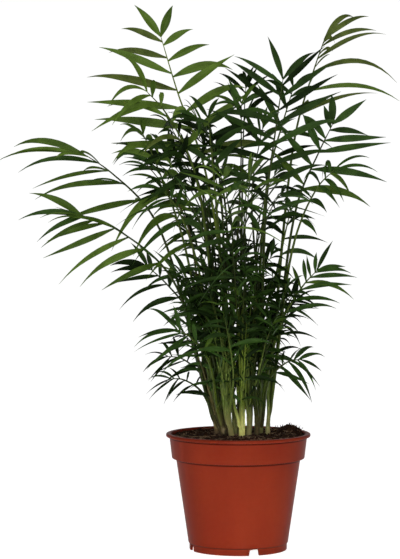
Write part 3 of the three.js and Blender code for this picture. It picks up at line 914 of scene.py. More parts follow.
@dataclass(frozen=True)
class Cane:
    """One stem of the clump: its foot on the peat, its lean, its height and its radius at the foot."""

    x: float
    y: float
    lean_x: float
    lean_y: float
    height: float
    radius: float
    tone: Tone
    sides: int = 6
    steps: int = 3
    flare: float = 1.15
    taper: float = 0.8
    start: float = PEAT_LEVEL + GAP

    def at(self, height: float) -> Vector3:
        """Gives the point on the middle line at a height above the foot."""
        return vector(self.x + self.lean_x * height, self.y + self.lean_y * height, self.start + height)

    def thickness(self, height: float) -> float:
        """Works out how thick the stem is.

        Args:
            height: The height above the foot.

        Returns:
            The radius there.
        """
        along = height / self.height
        flare = 1 + (self.flare - 1) * max(0, 1 - along * self.steps)
        return self.radius * (1 - (1 - self.taper) * along) * flare

    def support(self, height: float, outward: Vector3) -> float:
        """Works out how far the solid's six-sided section reaches.

        Args:
            height: The height above the foot.
            outward: The level direction towards which it is wanted.

        Returns:
            The distance from the middle line.
        """
        side = 2 * math.pi / self.sides
        heading = math.atan2(outward[1], outward[0])
        corner = math.floor(heading / side + 0.5) * side
        return self.thickness(height) * math.cos(heading - corner)

    def limb(self) -> "Limb":
        """Gives the stem as the solids have it, for the tests of what is clear of what.

        Returns:
            The limb.
        """
        heights = [step / self.steps * self.height for step in range(self.steps + 1)]
        points = np.array([self.at(height) for height in heights])
        return Limb(points, np.array([self.thickness(height) for height in heights]))


@dataclass
class Limb:
    """A stem, or a stalk with its rib, as straight pieces with a radius at each end."""

    points: np.ndarray
    radii: np.ndarray
    controls: np.ndarray | None = None
    face: Vector3 | None = None
    seat: float = 0  # how far from the middle of its cane a stalk starts
    cane: int = -1

    def distances(self, other: "Limb") -> np.ndarray:
        """Works out the least distances to another limb.

        Args:
            other: The other limb.

        Returns:
            The distance of each straight piece of this limb, a row each, from each piece of the other.
        """
        a, b = self.points[:-1, None], self.points[1:, None]
        c, d = other.points[None, :-1], other.points[None, 1:]
        u, v, w = b - a, d - c, a - c
        uu, uv, vv, uw, vw = (np.sum(p * q, 2) for p, q in ((u, u), (u, v), (v, v), (u, w), (v, w)))
        spread = uu * vv - uv * uv
        skew = spread > TINY
        first = np.clip(np.where(skew, (uv * vw - vv * uw) / np.where(skew, spread, 1), 0), 0, 1)
        t = np.clip((uv * first + vw) / vv, 0, 1)
        s = np.clip((uv * t - uw) / uu, 0, 1)
        return np.linalg.norm(w + u * s[..., None] - v * t[..., None], axis=2)

    def is_clear_of(self, other: "Limb", clearance: float) -> bool:
        """Says whether this limb passes another with room to spare."""
        room = self.radii[:-1, None] + other.radii[None, :-1] + clearance
        return bool(np.all(self.distances(other) >= room))


@dataclass
class CaneClump:
    """The clump of canes: ringed stems with a swollen foot, lighter and browner at the soil, partly as
    their own colour and partly as painted light from the floor.
    """

    canes: tuple[Cane, ...] = (
        Cane(x=-24, y=30, lean_x=-0.2, lean_y=0.02, height=95, radius=3, tone=Tone.BROWN),
        Cane(x=-17, y=12, lean_x=-0.19, lean_y=-0.03, height=130, radius=3.2, tone=Tone.DARK),
        Cane(x=-12, y=23, lean_x=-0.12, lean_y=0.03, height=115, radius=2.9, tone=Tone.DARK),
        Cane(x=-8, y=2, lean_x=-0.14, lean_y=-0.05, height=160, radius=2.8, tone=Tone.PALE),
        Cane(x=-3, y=15, lean_x=-0.07, lean_y=0.04, height=140, radius=2.9, tone=Tone.LEAF_GREEN),
        Cane(x=4.5, y=4, lean_x=0, lean_y=-0.03, height=150, radius=3.5, tone=Tone.YELLOW),
        Cane(x=12.5, y=9, lean_x=0.05, lean_y=0, height=170, radius=2.9, tone=Tone.PALE),
        Cane(x=2, y=29, lean_x=-0.02, lean_y=0.1, height=120, radius=2.8, tone=Tone.DARK),
        Cane(x=22, y=14, lean_x=0.05, lean_y=-0.04, height=120, radius=3.1, tone=Tone.DARK),
        Cane(x=-20, y=42, lean_x=-0.12, lean_y=0.12, height=90, radius=2.8, tone=Tone.DARK),
        Cane(x=14, y=36, lean_x=0.05, lean_y=0.14, height=125, radius=3, tone=Tone.BROWN),
        Cane(x=26.5, y=28, lean_x=0.12, lean_y=0.06, height=115, radius=3, tone=Tone.LEAF_GREEN),
        Cane(x=35, y=24, lean_x=0.07, lean_y=0.02, height=115, radius=2.4, tone=Tone.PALE),
    )
    sides: int = 14
    ring_step: float = 1.5
    node_spacing: float = 17
    node_shift: float = 5  # how far the nodes of each next cane are shifted
    node_swell: float = 0.09
    node_width: float = 0.06  # as a part of the spacing, as is the place of the swelling
    node_place: float = 0.5
    node_taper: float = 0.03
    top_length: float = 10  # how much of a stem is drawn in at its top
    top_share: float = 0.25
    sunk: float = 2  # how deep the stems stand in the rough peat

    def cane_rings(self, cane: Cane, key: int) -> np.ndarray:
        """Gives the rings of one stem, swollen at its nodes and drawn in at its top.

        Args:
            cane: The stem.
            key: Its number, which shifts its nodes.

        Returns:
            An array of rings by points by three.
        """
        heights = np.arange(-self.sunk, cane.height, self.ring_step)
        line = np.array([cane.at(height) for height in heights])
        node = (heights + key * self.node_shift) % self.node_spacing / self.node_spacing
        ring = np.exp(-((node - self.node_place) / self.node_width) ** 2)
        swell = 1 + self.node_swell * ring - self.node_taper * node
        top = np.clip((cane.height - heights) / self.top_length, self.top_share, 1)
        radii = np.array([cane.thickness(max(height, 0)) for height in heights]) * swell * top
        return tube_rings(line, radii, self.sides, FRONT)

    def build(self) -> list[bpy.types.Object]:
        """Makes one piece for each cane.

        Returns:
            The pieces.
        """
        finishes = {tone: tone.finish("cane").material() for tone in Tone}
        pieces = []
        for number, cane in enumerate(self.canes, 1):
            batch = MeshBatch()
            batch.add_rings(self.cane_rings(cane, number))
            piece = batch.build(f"stem_{number:02d}", [finishes[cane.tone]], crease=60)
            pieces.append(settle(piece, [f"cane_{number:02d}"]))
        return pieces


# ---- Fronds -------------------------------------------------------------------------------------


class Region(Enum):
    """The parts of the crown, each of which is one piece of leaflets and one of ribs."""

    TOP = "top"
    LEFT = "left"
    RIGHT = "right"
    SKIRT = "skirt"
    LOW = "inner_low"
    MIDDLE = "inner_middle"
    HIGH = "inner_high"

    def is_inner(self) -> bool:
        """Says whether it is one of the three that fill the inside of the crown."""
        return self in (Region.LOW, Region.MIDDLE, Region.HIGH)


class Leaf(Enum):
    """The greens of the leaflets: the main colour, its paler patches, the roughness and the IOR."""

    OLIVE = ("#3b471a", "#546129", 0.5, 1.18)
    FRESH = ("#415718", "#556e27", 0.5, 1.2)
    MEADOW = ("#31470f", "#455c1c", 0.5, 1.2)
    MOSS = ("#22390e", "#324d1a", 0.5, 1.2)
    BOTTLE = ("#182a09", "#253b12", 0.48, 1.16)
    SHADE = ("#0d1806", "#17260c", 0.48, 1.1)

    def finish(self) -> PalmBlade:
        """Gives the green's finish."""
        return PalmBlade("leaf_" + self.name.lower(), *self.value)


@dataclass(frozen=True)
class Side:
    """How the leaflets on one side of a rib differ from the plain rule."""

    length: float = 1
    sweep: float = 0
    lift: float = 0
    droop: float = 1


PLAIN = Side()


@dataclass(frozen=True)
class Frond:
    """One frond, by its cane, its shoulder, where the leaflets begin, its tip and its leaflets."""

    name: str
    cane: int
    rise: float  # how high on its cane it starts
    shoulder: Point
    tip: Point
    arch: float  # how far the rib rises over the straight line from the shoulder to the tip
    pairs: int
    leaf: float  # the length of its longest leaflets
    vee: float  # the size of the first pair and of the V at the tip, as a part of the longest
    turn: float  # how far its face turns from the sky to where it is faced
    droop: float
    left: Side = PLAIN
    right: Side = PLAIN
    region: Region = Region.SKIRT
    green: Leaf = Leaf.MOSS
    rib: Tone | None = Tone.LEAF_GREEN  # as its cane where it is None
    facing: Point = tuple(FRONT)
    fork: Span = (0.45, 0.45)  # how far the V's two leaflets swing out, in radians
    play: float = 0.2  # how freely its leaflets leave the rule
    broad: float = 1  # how much broader its leaflets are
    fills: bool = False  # whether it is one of a tier's


MAIN_FRONDS = (
    Frond("top_left", cane=5, rise=60, shoulder=(-39, 12, 446), tip=(-92, 20, 606), arch=-6, pairs=8,
          leaf=118, vee=0.4, turn=0.92, droop=0.08, left=Side(droop=0.4),
          right=Side(length=0.8, sweep=0.28, droop=1.2), region=Region.TOP, green=Leaf.FRESH,
          rib=Tone.YELLOW, fork=(0.4, 0.53)),
    Frond("right_top", cane=11, rise=50, shoulder=(69, 40, 488), tip=(106, 60, 606), arch=5, pairs=6,
          leaf=98, vee=0.76, turn=0.65, droop=0.26,
          left=Side(length=0.45, sweep=-0.2, lift=1.9, droop=2),
          right=Side(length=1.15, sweep=-0.2, droop=1.4), region=Region.TOP, green=Leaf.OLIVE,
          fork=(-0.14, 0.54), broad=0.75),
    Frond("centre_top", cane=8, rise=70, shoulder=(32, -25, 406), tip=(51, -40, 553), arch=5, pairs=8,
          leaf=84, vee=0.74, turn=1, droop=0.04, left=Side(sweep=0.25), right=Side(sweep=-0.12),
          region=Region.TOP, green=Leaf.BOTTLE, rib=Tone.DARK, fork=(0.45, 0.6)),
    Frond("left_upper", cane=3, rise=60, shoulder=(-52, -30, 446), tip=(-107, -45, 537), arch=12,
          pairs=5, leaf=84, vee=0.8, turn=0.6, droop=0.34, left=Side(sweep=-0.2, lift=0.1),
          right=Side(length=0.6, sweep=-0.2, lift=0.8, droop=1.5), region=Region.LEFT, green=Leaf.FRESH,
          play=0.6),
    Frond("left_inner", cane=1, rise=70, shoulder=(-65, -10, 366), tip=(-112, -20, 490), arch=6, pairs=7,
          leaf=76, vee=0.5, turn=0.8, droop=0.5, left=Side(sweep=-0.3),
          right=Side(length=0.6, sweep=0.1, lift=0.4, droop=2), region=Region.LEFT, green=Leaf.MEADOW,
          play=0.8),
    Frond("far_left", cane=0, rise=45, shoulder=(-98, 4, 388), tip=(-183, 10, 466), arch=8, pairs=6,
          leaf=105, vee=0.92, turn=0.8, droop=0.14, left=Side(length=0.95, sweep=-0.3),
          right=Side(length=0.6, sweep=-0.2, lift=1.9, droop=1.5), region=Region.LEFT, green=Leaf.MEADOW,
          rib=Tone.DARK, fork=(0.45, -0.1), play=0.4, broad=0.74),
    Frond("left_low", cane=0, rise=30, shoulder=(-78, -30, 321), tip=(-183, -55, 395), arch=12, pairs=8,
          leaf=88, vee=0.7, turn=0.8, droop=0.1, left=Side(length=0.95, sweep=-0.2),
          right=Side(length=0.8, sweep=-0.8, lift=1.7), region=Region.LEFT, green=Leaf.MEADOW,
          rib=Tone.DARK, fork=(0.2, 0.28), play=0.4),
    Frond("left_arch", cane=1, rise=50, shoulder=(-47, -14, 332), tip=(-89, -20, 423), arch=16, pairs=6,
          leaf=80, vee=0.6, turn=0.6, droop=0.28, right=Side(length=0.7, lift=0.4), region=Region.LEFT,
          play=0.8, broad=0.65),
    Frond("right_mid", cane=12, rise=60, shoulder=(68, -15, 405), tip=(110, -20, 501), arch=4, pairs=6,
          leaf=105, vee=0.42, turn=0.95, droop=0.05, left=Side(length=0.6, lift=0.2),
          right=Side(length=0.88, droop=3), region=Region.RIGHT, rib=Tone.DARK),
    Frond("right_arch", cane=12, rise=40, shoulder=(66, -25, 368), tip=(110, -40, 446), arch=13, pairs=6,
          leaf=60, vee=0.95, turn=0.5, droop=0.3, left=Side(length=0.85, sweep=0.3, lift=0.3, droop=2),
          right=Side(length=0.5, sweep=0.1, droop=1.8), region=Region.RIGHT, fork=(0.1, 0.5), play=0.5),
    Frond("right_low", cane=8, rise=40, shoulder=(50, -12, 268), tip=(92, -20, 330), arch=6, pairs=7,
          leaf=58, vee=0.7, turn=0.7, droop=0.16, left=Side(length=0.7, lift=0.2),
          right=Side(length=1.1, sweep=-0.3, droop=1.8), region=Region.RIGHT, broad=1.1),
    Frond("right_skirt", cane=11, rise=16, shoulder=(37, -20, 204), tip=(72, -30, 226), arch=6, pairs=6,
          leaf=50, vee=0.7, turn=0.6, droop=0.2, left=Side(length=0.8), green=Leaf.BOTTLE, rib=Tone.DARK,
          play=0.5, broad=1.2),
    Frond("left_skirt", cane=9, rise=24, shoulder=(-40, 30, 200), tip=(-84, 34, 224), arch=7, pairs=5,
          leaf=40, vee=0.8, turn=0.6, droop=0.16, green=Leaf.SHADE, rib=Tone.DARK, play=0.5, broad=1.15),
    Frond("left_drape", cane=9, rise=40, shoulder=(-58, 0, 278), tip=(-108, 0, 332), arch=4, pairs=5,
          leaf=62, vee=0.7, turn=0.8, droop=0.16, left=Side(sweep=-0.1),
          right=Side(length=0.6, sweep=-0.2, lift=0.7, droop=1.5), region=Region.LEFT, green=Leaf.BOTTLE,
          rib=Tone.DARK, play=0.5, broad=1.2),
    Frond("left_fan", cane=0, rise=28, shoulder=(-36, -30, 226), tip=(-72, -45, 262), arch=6, pairs=6,
          leaf=58, vee=0.9, turn=0.9, droop=0.08, left=Side(sweep=-0.2),
          right=Side(length=0.8, sweep=-0.2, lift=0.5), play=0.5),
    Frond("upper_centre", cane=4, rise=80, shoulder=(-26, -22, 404), tip=(-36, -30, 508), arch=4,
          pairs=6, leaf=66, vee=0.6, turn=0.9, droop=0.1, region=Region.TOP, green=Leaf.BOTTLE, play=0.7),
    Frond("upper_back", cane=10, rise=80, shoulder=(35, 20, 434), tip=(66, 30, 545), arch=4, pairs=5,
          leaf=66, vee=0.6, turn=0.9, droop=0.1, region=Region.TOP, green=Leaf.BOTTLE, play=0.7),
    Frond("left_skirt_low", cane=1, rise=12, shoulder=(-44, 5, 186), tip=(-80, 10, 200), arch=5, pairs=5,
          leaf=30, vee=0.9, turn=0.6, droop=0.2, green=Leaf.SHADE, rib=Tone.DARK, play=0.5),
    Frond("right_inner", cane=6, rise=50, shoulder=(46, 5, 330), tip=(62, 10, 400), arch=2, pairs=5,
          leaf=52, vee=0.6, turn=0.7, droop=0.3, region=Region.RIGHT, green=Leaf.BOTTLE, play=0.8),
)


@dataclass(frozen=True)
class Tier:
    """A ring of fronds that fill the crown: their number, where their tips lie, and their leaflets."""

    fronds: int
    low: float
    high: float
    width: float
    depth: float
    leaf: float
    region: Region
    greens: tuple[Leaf, ...]
    raised: float = 0  # how much higher the tips at the front and the back lie
    pairs: int = 6
    middle: float = 2  # how far right the middle of the ring is


# The tiers that the solids have too.
TIERS = (
    Tier(fronds=10, low=250, high=330, raised=36, width=50, depth=104, leaf=52, region=Region.LOW,
         greens=(Leaf.SHADE, Leaf.BOTTLE, Leaf.MOSS)),
    Tier(fronds=9, low=335, high=420, width=56, depth=165, leaf=60, region=Region.MIDDLE,
         greens=(Leaf.BOTTLE, Leaf.SHADE, Leaf.MOSS)),
    Tier(fronds=5, low=440, high=520, width=56, depth=150, leaf=66, region=Region.HIGH,
         greens=(Leaf.BOTTLE, Leaf.MOSS, Leaf.MEADOW)),
)

# Finer fronds between them: the low mass, its right and left flanks, the leaves that hang before the
# stems, the waist, the open web, the top and the left side.
FINER_TIERS = (
    Tier(fronds=26, low=256, high=316, raised=8, width=54, depth=64, leaf=46, region=Region.LOW,
         greens=(Leaf.BOTTLE, Leaf.SHADE, Leaf.MOSS), middle=-2),
    Tier(fronds=8, low=256, high=322, width=22, depth=40, leaf=46, region=Region.LOW,
         greens=(Leaf.BOTTLE, Leaf.MOSS, Leaf.SHADE), middle=54),
    Tier(fronds=9, low=254, high=322, width=20, depth=40, leaf=48, region=Region.LOW,
         greens=(Leaf.BOTTLE, Leaf.SHADE, Leaf.MOSS), middle=-52),
    Tier(fronds=7, low=240, high=262, width=26, depth=44, leaf=42, region=Region.LOW,
         greens=(Leaf.BOTTLE, Leaf.SHADE, Leaf.MOSS)),
    Tier(fronds=12, low=316, high=384, width=50, depth=74, leaf=52, region=Region.MIDDLE,
         greens=(Leaf.BOTTLE, Leaf.SHADE, Leaf.MOSS), middle=-30),
    Tier(fronds=7, low=452, high=508, width=32, depth=58, leaf=60, region=Region.HIGH,
         greens=(Leaf.BOTTLE, Leaf.SHADE, Leaf.BOTTLE, Leaf.MOSS), middle=-62),
    Tier(fronds=3, low=500, high=548, width=24, depth=40, leaf=58, region=Region.HIGH,
         greens=(Leaf.BOTTLE, Leaf.MOSS, Leaf.MEADOW), middle=14),
    Tier(fronds=3, low=418, high=472, width=30, depth=40, leaf=54, region=Region.LEFT,
         greens=(Leaf.MOSS, Leaf.BOTTLE, Leaf.MEADOW), middle=-100),
)


@dataclass
class TierRule:
    """The seeded rule that lays out the fronds of the tiers, by ranges that each frond draws from."""

    canes: tuple[Cane, ...]
    golden_angle: float = 2.39996
    angle_play: Span = (-0.3, 0.3)
    shuffle: int = 5  # the step that mixes the heights of a tier
    reach: Span = (0.6, 1)
    shoulder_share: Span = (0.42, 0.52)  # how far out the shoulder is, as a part of the tip's distance
    hang: Span = (75, 105)  # how far under the tip the shoulder is
    hang_by_reach: float = 20
    stand: Span = (12, 34)  # how far from the clump's middle its cane is looked for
    lean: float = 0.4  # how far a tier's own middle also moves the canes that its fronds take
    rise: Span = (15, 80)
    lowest_stalk: float = 60  # the least that a tip lies over the foot of its stalk
    arch: Span = (4, 16)
    leaf: Span = (0.9, 1.1)
    vee: float = 0.6
    turn: Span = (0.15, 0.7)
    droop: Span = (0.08, 0.3)
    play: float = 1
    broad: float = 0.9

    def rows(self, tiers: Sequence[Tier], key: int) -> list[Frond]:
        """Gives the rows of the fronds that fill the crown.

        Args:
            tiers: The tiers.
            key: The number before that of the first frond.

        Returns:
            The rows, tier by tier.
        """
        places = [(tier, number) for tier in tiers for number in range(tier.fronds)]
        return [self.row(tier, number, seed) for seed, (tier, number) in enumerate(places, key + 1)]

    def row(self, tier: Tier, number: int, key: int) -> Frond:
        """Works out the row of one frond that fills the crown.

        Args:
            tier: Its tier.
            number: Its number in the tier.
            key: Its number in the whole crown, which seeds it.

        Returns:
            The row.
        """
        angle = key * self.golden_angle + between(*self.angle_play, key, 1)
        to_side, to_back = math.cos(angle), math.sin(angle)
        mixed = ((number * self.shuffle) % tier.fronds) / (tier.fronds - 1)
        height = tier.low + (tier.high - tier.low) * mixed + tier.raised * to_back * to_back
        reach = between(*self.reach, key, 2)
        middle, behind = CLUMP_MIDDLE
        tip = (tier.middle + to_side * tier.width * reach, to_back * tier.depth * reach, height)
        share = between(*self.shoulder_share, key, 3)
        hang = between(*self.hang, key, 4) - self.hang_by_reach * reach
        stand = between(*self.stand, key, 5)
        aside = middle + to_side * stand + (tier.middle - middle) * self.lean
        highest = height - self.canes[0].start - self.lowest_stalk
        return Frond(
            f"inner_{key:02d}",
            cane=self.nearest_cane(aside, behind + to_back * stand),
            rise=min(between(*self.rise, key, 6), highest),
            shoulder=(middle + (tip[0] - middle) * share, tip[1] * share, height - hang),
            tip=tip,
            arch=between(*self.arch, key, 7),
            pairs=tier.pairs,
            leaf=tier.leaf * between(*self.leaf, key, 8),
            vee=self.vee,
            turn=between(*self.turn, key, 9),
            droop=between(*self.droop, key, 10),
            region=tier.region,
            green=tier.greens[key % len(tier.greens)],
            rib=None,
            facing=tuple(vector(to_back, -to_side, 0) * (1 if key % 2 else -1)),
            play=self.play,
            broad=self.broad,
            fills=True)

    def nearest_cane(self, x: float, y: float) -> int:
        """Gives the number of the cane whose foot is nearest to a place."""
        return int(np.argmin([math.hypot(cane.x - x, cane.y - y) for cane in self.canes]))


@dataclass
class SeatRule:
    """How a frond is seated: it tries places on its cane until it is clear of every limb before it."""

    canes: tuple[Cane, ...]
    tries: int = 48
    tries_a_cane: int = 16
    step_depth: float = 5  # how far the tip steps to the back or the front between two tries
    step_shoulder: float = 0.6  # the part of the step that the shoulder takes
    step_rise: float = 9
    rises: int = 4
    stalk_foot: float = 2
    stalk_shoulder: float = 1.6
    stalk_tip: float = 1.2
    stalk_steps: int = 6
    arch_place: float = 0.6
    face_back: float = 0.6  # the plain face of a frond looks up and a little back to its cane
    face_up: float = 0.8
    clearance: float = 0.8
    seat_share: float = 0.97

    def limb(self, frond: Frond, attempt: int) -> Limb:
        """Works out a frond's stalk and rib for one try.

        Args:
            frond: The frond's row.
            attempt: Each further try starts higher on the cane and steps to the back or the front,
                and after some tries it goes on to the next cane.

        Returns:
            The limb, as the solids have it.
        """
        number = (frond.cane + attempt // self.tries_a_cane) % len(self.canes)
        cane = self.canes[number]
        turn = attempt % self.tries_a_cane
        step = math.ceil(turn / 2) * (self.step_depth if turn % 2 else -self.step_depth)
        shoulder = vector(*frond.shoulder) + vector(0, step * self.step_shoulder, 0)
        tip = vector(*frond.tip) + vector(0, step, 0)
        rise = frond.rise + self.step_rise * (attempt % self.rises)
        middle = cane.at(rise)
        outward = unit((shoulder - middle) * (1, 1, 0))
        plain = unit((tip - middle) * (1, 1, 0)) * -self.face_back + UP * self.face_up
        face = unit(plain + (vector(*frond.facing) - plain) * frond.turn)
        foot = self.foot_support(unit(shoulder - middle), face, outward)
        seat = cane.support(rise, outward) + foot + GAP
        half = shoulder + (tip - shoulder) * self.arch_place + UP * frond.arch
        controls = np.array([middle + outward * seat, shoulder, half, tip])
        places = np.linspace(0, 1, self.stalk_steps + 1)
        radii = np.interp(places, (0, SHOULDER_PLACE, 1),
                          (self.stalk_foot, self.stalk_shoulder, self.stalk_tip))
        return Limb(catmull_rom(controls, places), radii, controls, face, seat, number)

    def foot_support(self, travel: Vector3, face: Vector3, outward: Vector3) -> float:
        """Works out how far the solid stalk's square foot reaches back towards its cane.

        Args:
            travel: The direction of the stalk.
            face: The direction that the frond faces.
            outward: The level direction from the cane to the stalk.

        Returns:
            The distance from the stalk's middle line.
        """
        to_face = square_to(travel, face)
        across = np.cross(travel, to_face)
        return self.stalk_foot * math.sqrt(0.5) * (abs(outward @ across) + abs(outward @ to_face))

    def settled_limb(self, frond: Frond, limbs: list[Limb]) -> Limb | None:
        """Finds a clear place for a frond.

        Args:
            frond: The frond's row.
            limbs: The canes' limbs and those of the fronds before it.

        Returns:
            The first try that is clear of them all, or nothing.
        """
        for attempt in range(self.tries):
            limb = self.limb(frond, attempt)
            own = limbs[limb.cane]
            clear = all(limb.is_clear_of(other, self.clearance) for other in limbs if other is not own)
            if clear and np.all(limb.distances(own) >= limb.seat * self.seat_share):
                return limb
        return None


@dataclass
class Leaflet:
    """One leaflet: where it is rooted, where it points and faces, its size and how it bends."""

    root: Vector3
    direction: Vector3
    face: Vector3
    toward_tip: Vector3
    length: float
    width: float
    droop: float
    curl: float
    bend: float
    twist: Span


@dataclass
class LeafletRule:
    """How leaflets are laid out along a rib and skinned. Angles are in radians, and the fields called
    free are ranges that a frond's play takes a part of."""

    slimness: float = 0.088
    left_place: float = 0.9  # how far after the shoulder the first leaflets are, in steps of a pair
    right_place: float = 0.7
    last_place: float = 0.985
    fork_room: float = 0.6
    travel_step: float = 0.004
    spread: float = 1.2
    spread_tip: float = 0.8
    spread_play: Span = (-0.12, 0.12)
    spread_free: Span = (-0.5, 0.5)
    spread_fill: float = -0.16  # how much nearer to the rib the leaflets of a tier's fronds point
    fork_play: Span = (-0.06, 0.06)
    lift_play: Span = (-0.16, 0.2)
    lift_free: Span = (-0.6, 0.6)
    swell_from: float = 0.25
    swell_power: float = 1.4
    narrowest: float = 0.6
    length_play: Span = (0.92, 1.08)
    width_free: Span = (-0.4, 0.6)
    droop_play: Span = (0.6, 1.4)
    droop_free: Span = (0, 0.3)
    curl: Span = (-0.02, 0.2)
    bend: Span = (-0.06, 0.12)
    bend_free: Span = (-0.1, 0.2)
    twist_foot: Span = (-0.35, 0.35)
    twist_tip: Span = (-0.8, 0.8)
    steps: int = 11
    widest_power: float = 0.78  # under 1, the widest place lies nearer to the foot
    taper_power: float = 1.1
    foot_half: float = 0.75  # the least half width at the foot and at the tip
    tip_half: float = 0.12
    section: tuple[Point, ...] = (  # how far out, folded up and thick, from edge to edge, and the back
        (1, 0.25, 0), (0.55, 0.2, 0), (0, 0, 0), (-0.55, 0.2, 0), (-1, 0.25, 0), (0, 0, 0.45))

    def leaflets(self, frond: Frond, limb: Limb, key: int) -> list[Leaflet]:
        """Gives every leaflet of a frond, in pairs from the shoulder to the V at the tip.

        Args:
            frond: The frond's row.
            limb: Its settled limb.
            key: The frond's number, which seeds its leaflets.

        Returns:
            The leaflets.
        """
        return [self.leaflet(frond, limb, pair, hand, key * SEEDS_A_FROND + pair * 2 + (hand > 0))
                for pair in range(frond.pairs) for hand in (-1, 1)]

    def leaflet(self, frond: Frond, limb: Limb, pair: int, hand: int, seed: int) -> Leaflet:
        """Works out one leaflet.

        Args:
            frond: The frond's row.
            limb: Its settled limb.
            pair: The number of its pair, from the shoulder. The last pair is the V at the tip.
            hand: -1 for the left side of the rib, and 1 for the right.
            seed: The leaflet's own number.

        Returns:
            The leaflet.
        """
        last = pair == frond.pairs - 1
        first = self.right_place if hand > 0 else self.left_place
        share = (pair + first) / (frond.pairs - self.fork_room)
        place = self.last_place if last else SHOULDER_PLACE + share * (1 - SHOULDER_PLACE)
        step = self.travel_step
        near = catmull_rom(limb.controls, np.array([place - step, place, place + step]))
        travel = unit(near[2] - near[0])
        face = square_to(travel, limb.face)
        across = np.cross(travel, face) * hand
        if last:
            own = PLAIN
            sweep = frond.fork[hand > 0] + between(*self.fork_play, seed, 1)
            swell, narrowing = frond.vee, 1.0
        else:
            own = frond.right if hand > 0 else frond.left
            sweep = self.spread + (self.spread_tip - self.spread) * share
            sweep += between(*self.spread_play, seed, 1)
            free = frond.play * between(*self.spread_free, seed, 8)
            sweep += own.sweep + free + (self.spread_fill if frond.fills else 0)
            along = self.swell_from + (1 - self.swell_from) * share
            arch = math.sin(math.pi * along) ** self.swell_power
            swell = frond.vee + (1 - frond.vee) * arch
            narrowing = self.narrowest + (1 - self.narrowest) * swell
        lift = own.lift + between(*self.lift_play, seed, 2)
        lift += frond.play * between(*self.lift_free, seed, 9)
        outward = across * math.cos(lift) + face * math.sin(lift)
        level = face * math.cos(lift) - across * math.sin(lift)
        direction = travel * math.cos(sweep) + outward * math.sin(sweep)
        widened = 1 + frond.play * between(*self.width_free, seed, 12)
        droop = frond.droop * own.droop * between(*self.droop_play, seed, 4)
        return Leaflet(
            root=near[1],
            direction=direction,
            face=square_to(direction, level),
            toward_tip=travel,
            length=frond.leaf * own.length * swell * between(*self.length_play, seed, 3),
            width=frond.leaf * self.slimness * frond.broad * narrowing * widened,
            droop=droop + frond.play * between(*self.droop_free, seed, 10),
            curl=between(*self.curl, seed, 5),
            bend=between(*self.bend, seed, 11) + frond.play * between(*self.bend_free, seed, 13),
            twist=(between(*self.twist_foot, seed, 6), between(*self.twist_tip, seed, 7)))

    def rings(self, leaflet: Leaflet) -> np.ndarray:
        """Gives the rings of one leaflet: two half blades that fold up from a midrib.

        Args:
            leaflet: The leaflet.

        Returns:
            An array of rings by points by three.
        """
        t = np.linspace(0, 1, self.steps + 1)[:, None]
        size = leaflet.length
        middle = (leaflet.root + leaflet.direction * (t * size)
                  - UP * (size * (leaflet.droop * t ** 2 + leaflet.curl * t ** 4))
                  + leaflet.toward_tip * (size * leaflet.bend * t ** 2))
        travel = unit(np.gradient(middle, axis=0))
        level = square_to(travel, leaflet.face)
        side = np.cross(travel, level)
        turn = leaflet.twist[0] + (leaflet.twist[1] - leaflet.twist[0]) * t
        face = level * np.cos(turn) + side * np.sin(turn)
        across = np.cross(travel, face)
        outline = leaflet.width / 2 * np.sin(math.pi * t ** self.widest_power) ** self.taper_power
        half = np.maximum(outline, self.foot_half * (1 - t) + self.tip_half)
        thin = np.minimum(1, half)
        return np.stack([middle + across * (half * out) + face * (half * fold - thick * thin)
                         for out, fold, thick in self.section], 1)


@dataclass
class Foliage:
    """What one region of the crown gathers: ribs, leaflets and the solids that they stand for."""

    ribs: MeshBatch = field(default_factory=MeshBatch)
    blades: MeshBatch = field(default_factory=MeshBatch)
    nodes: list[str] = field(default_factory=list)


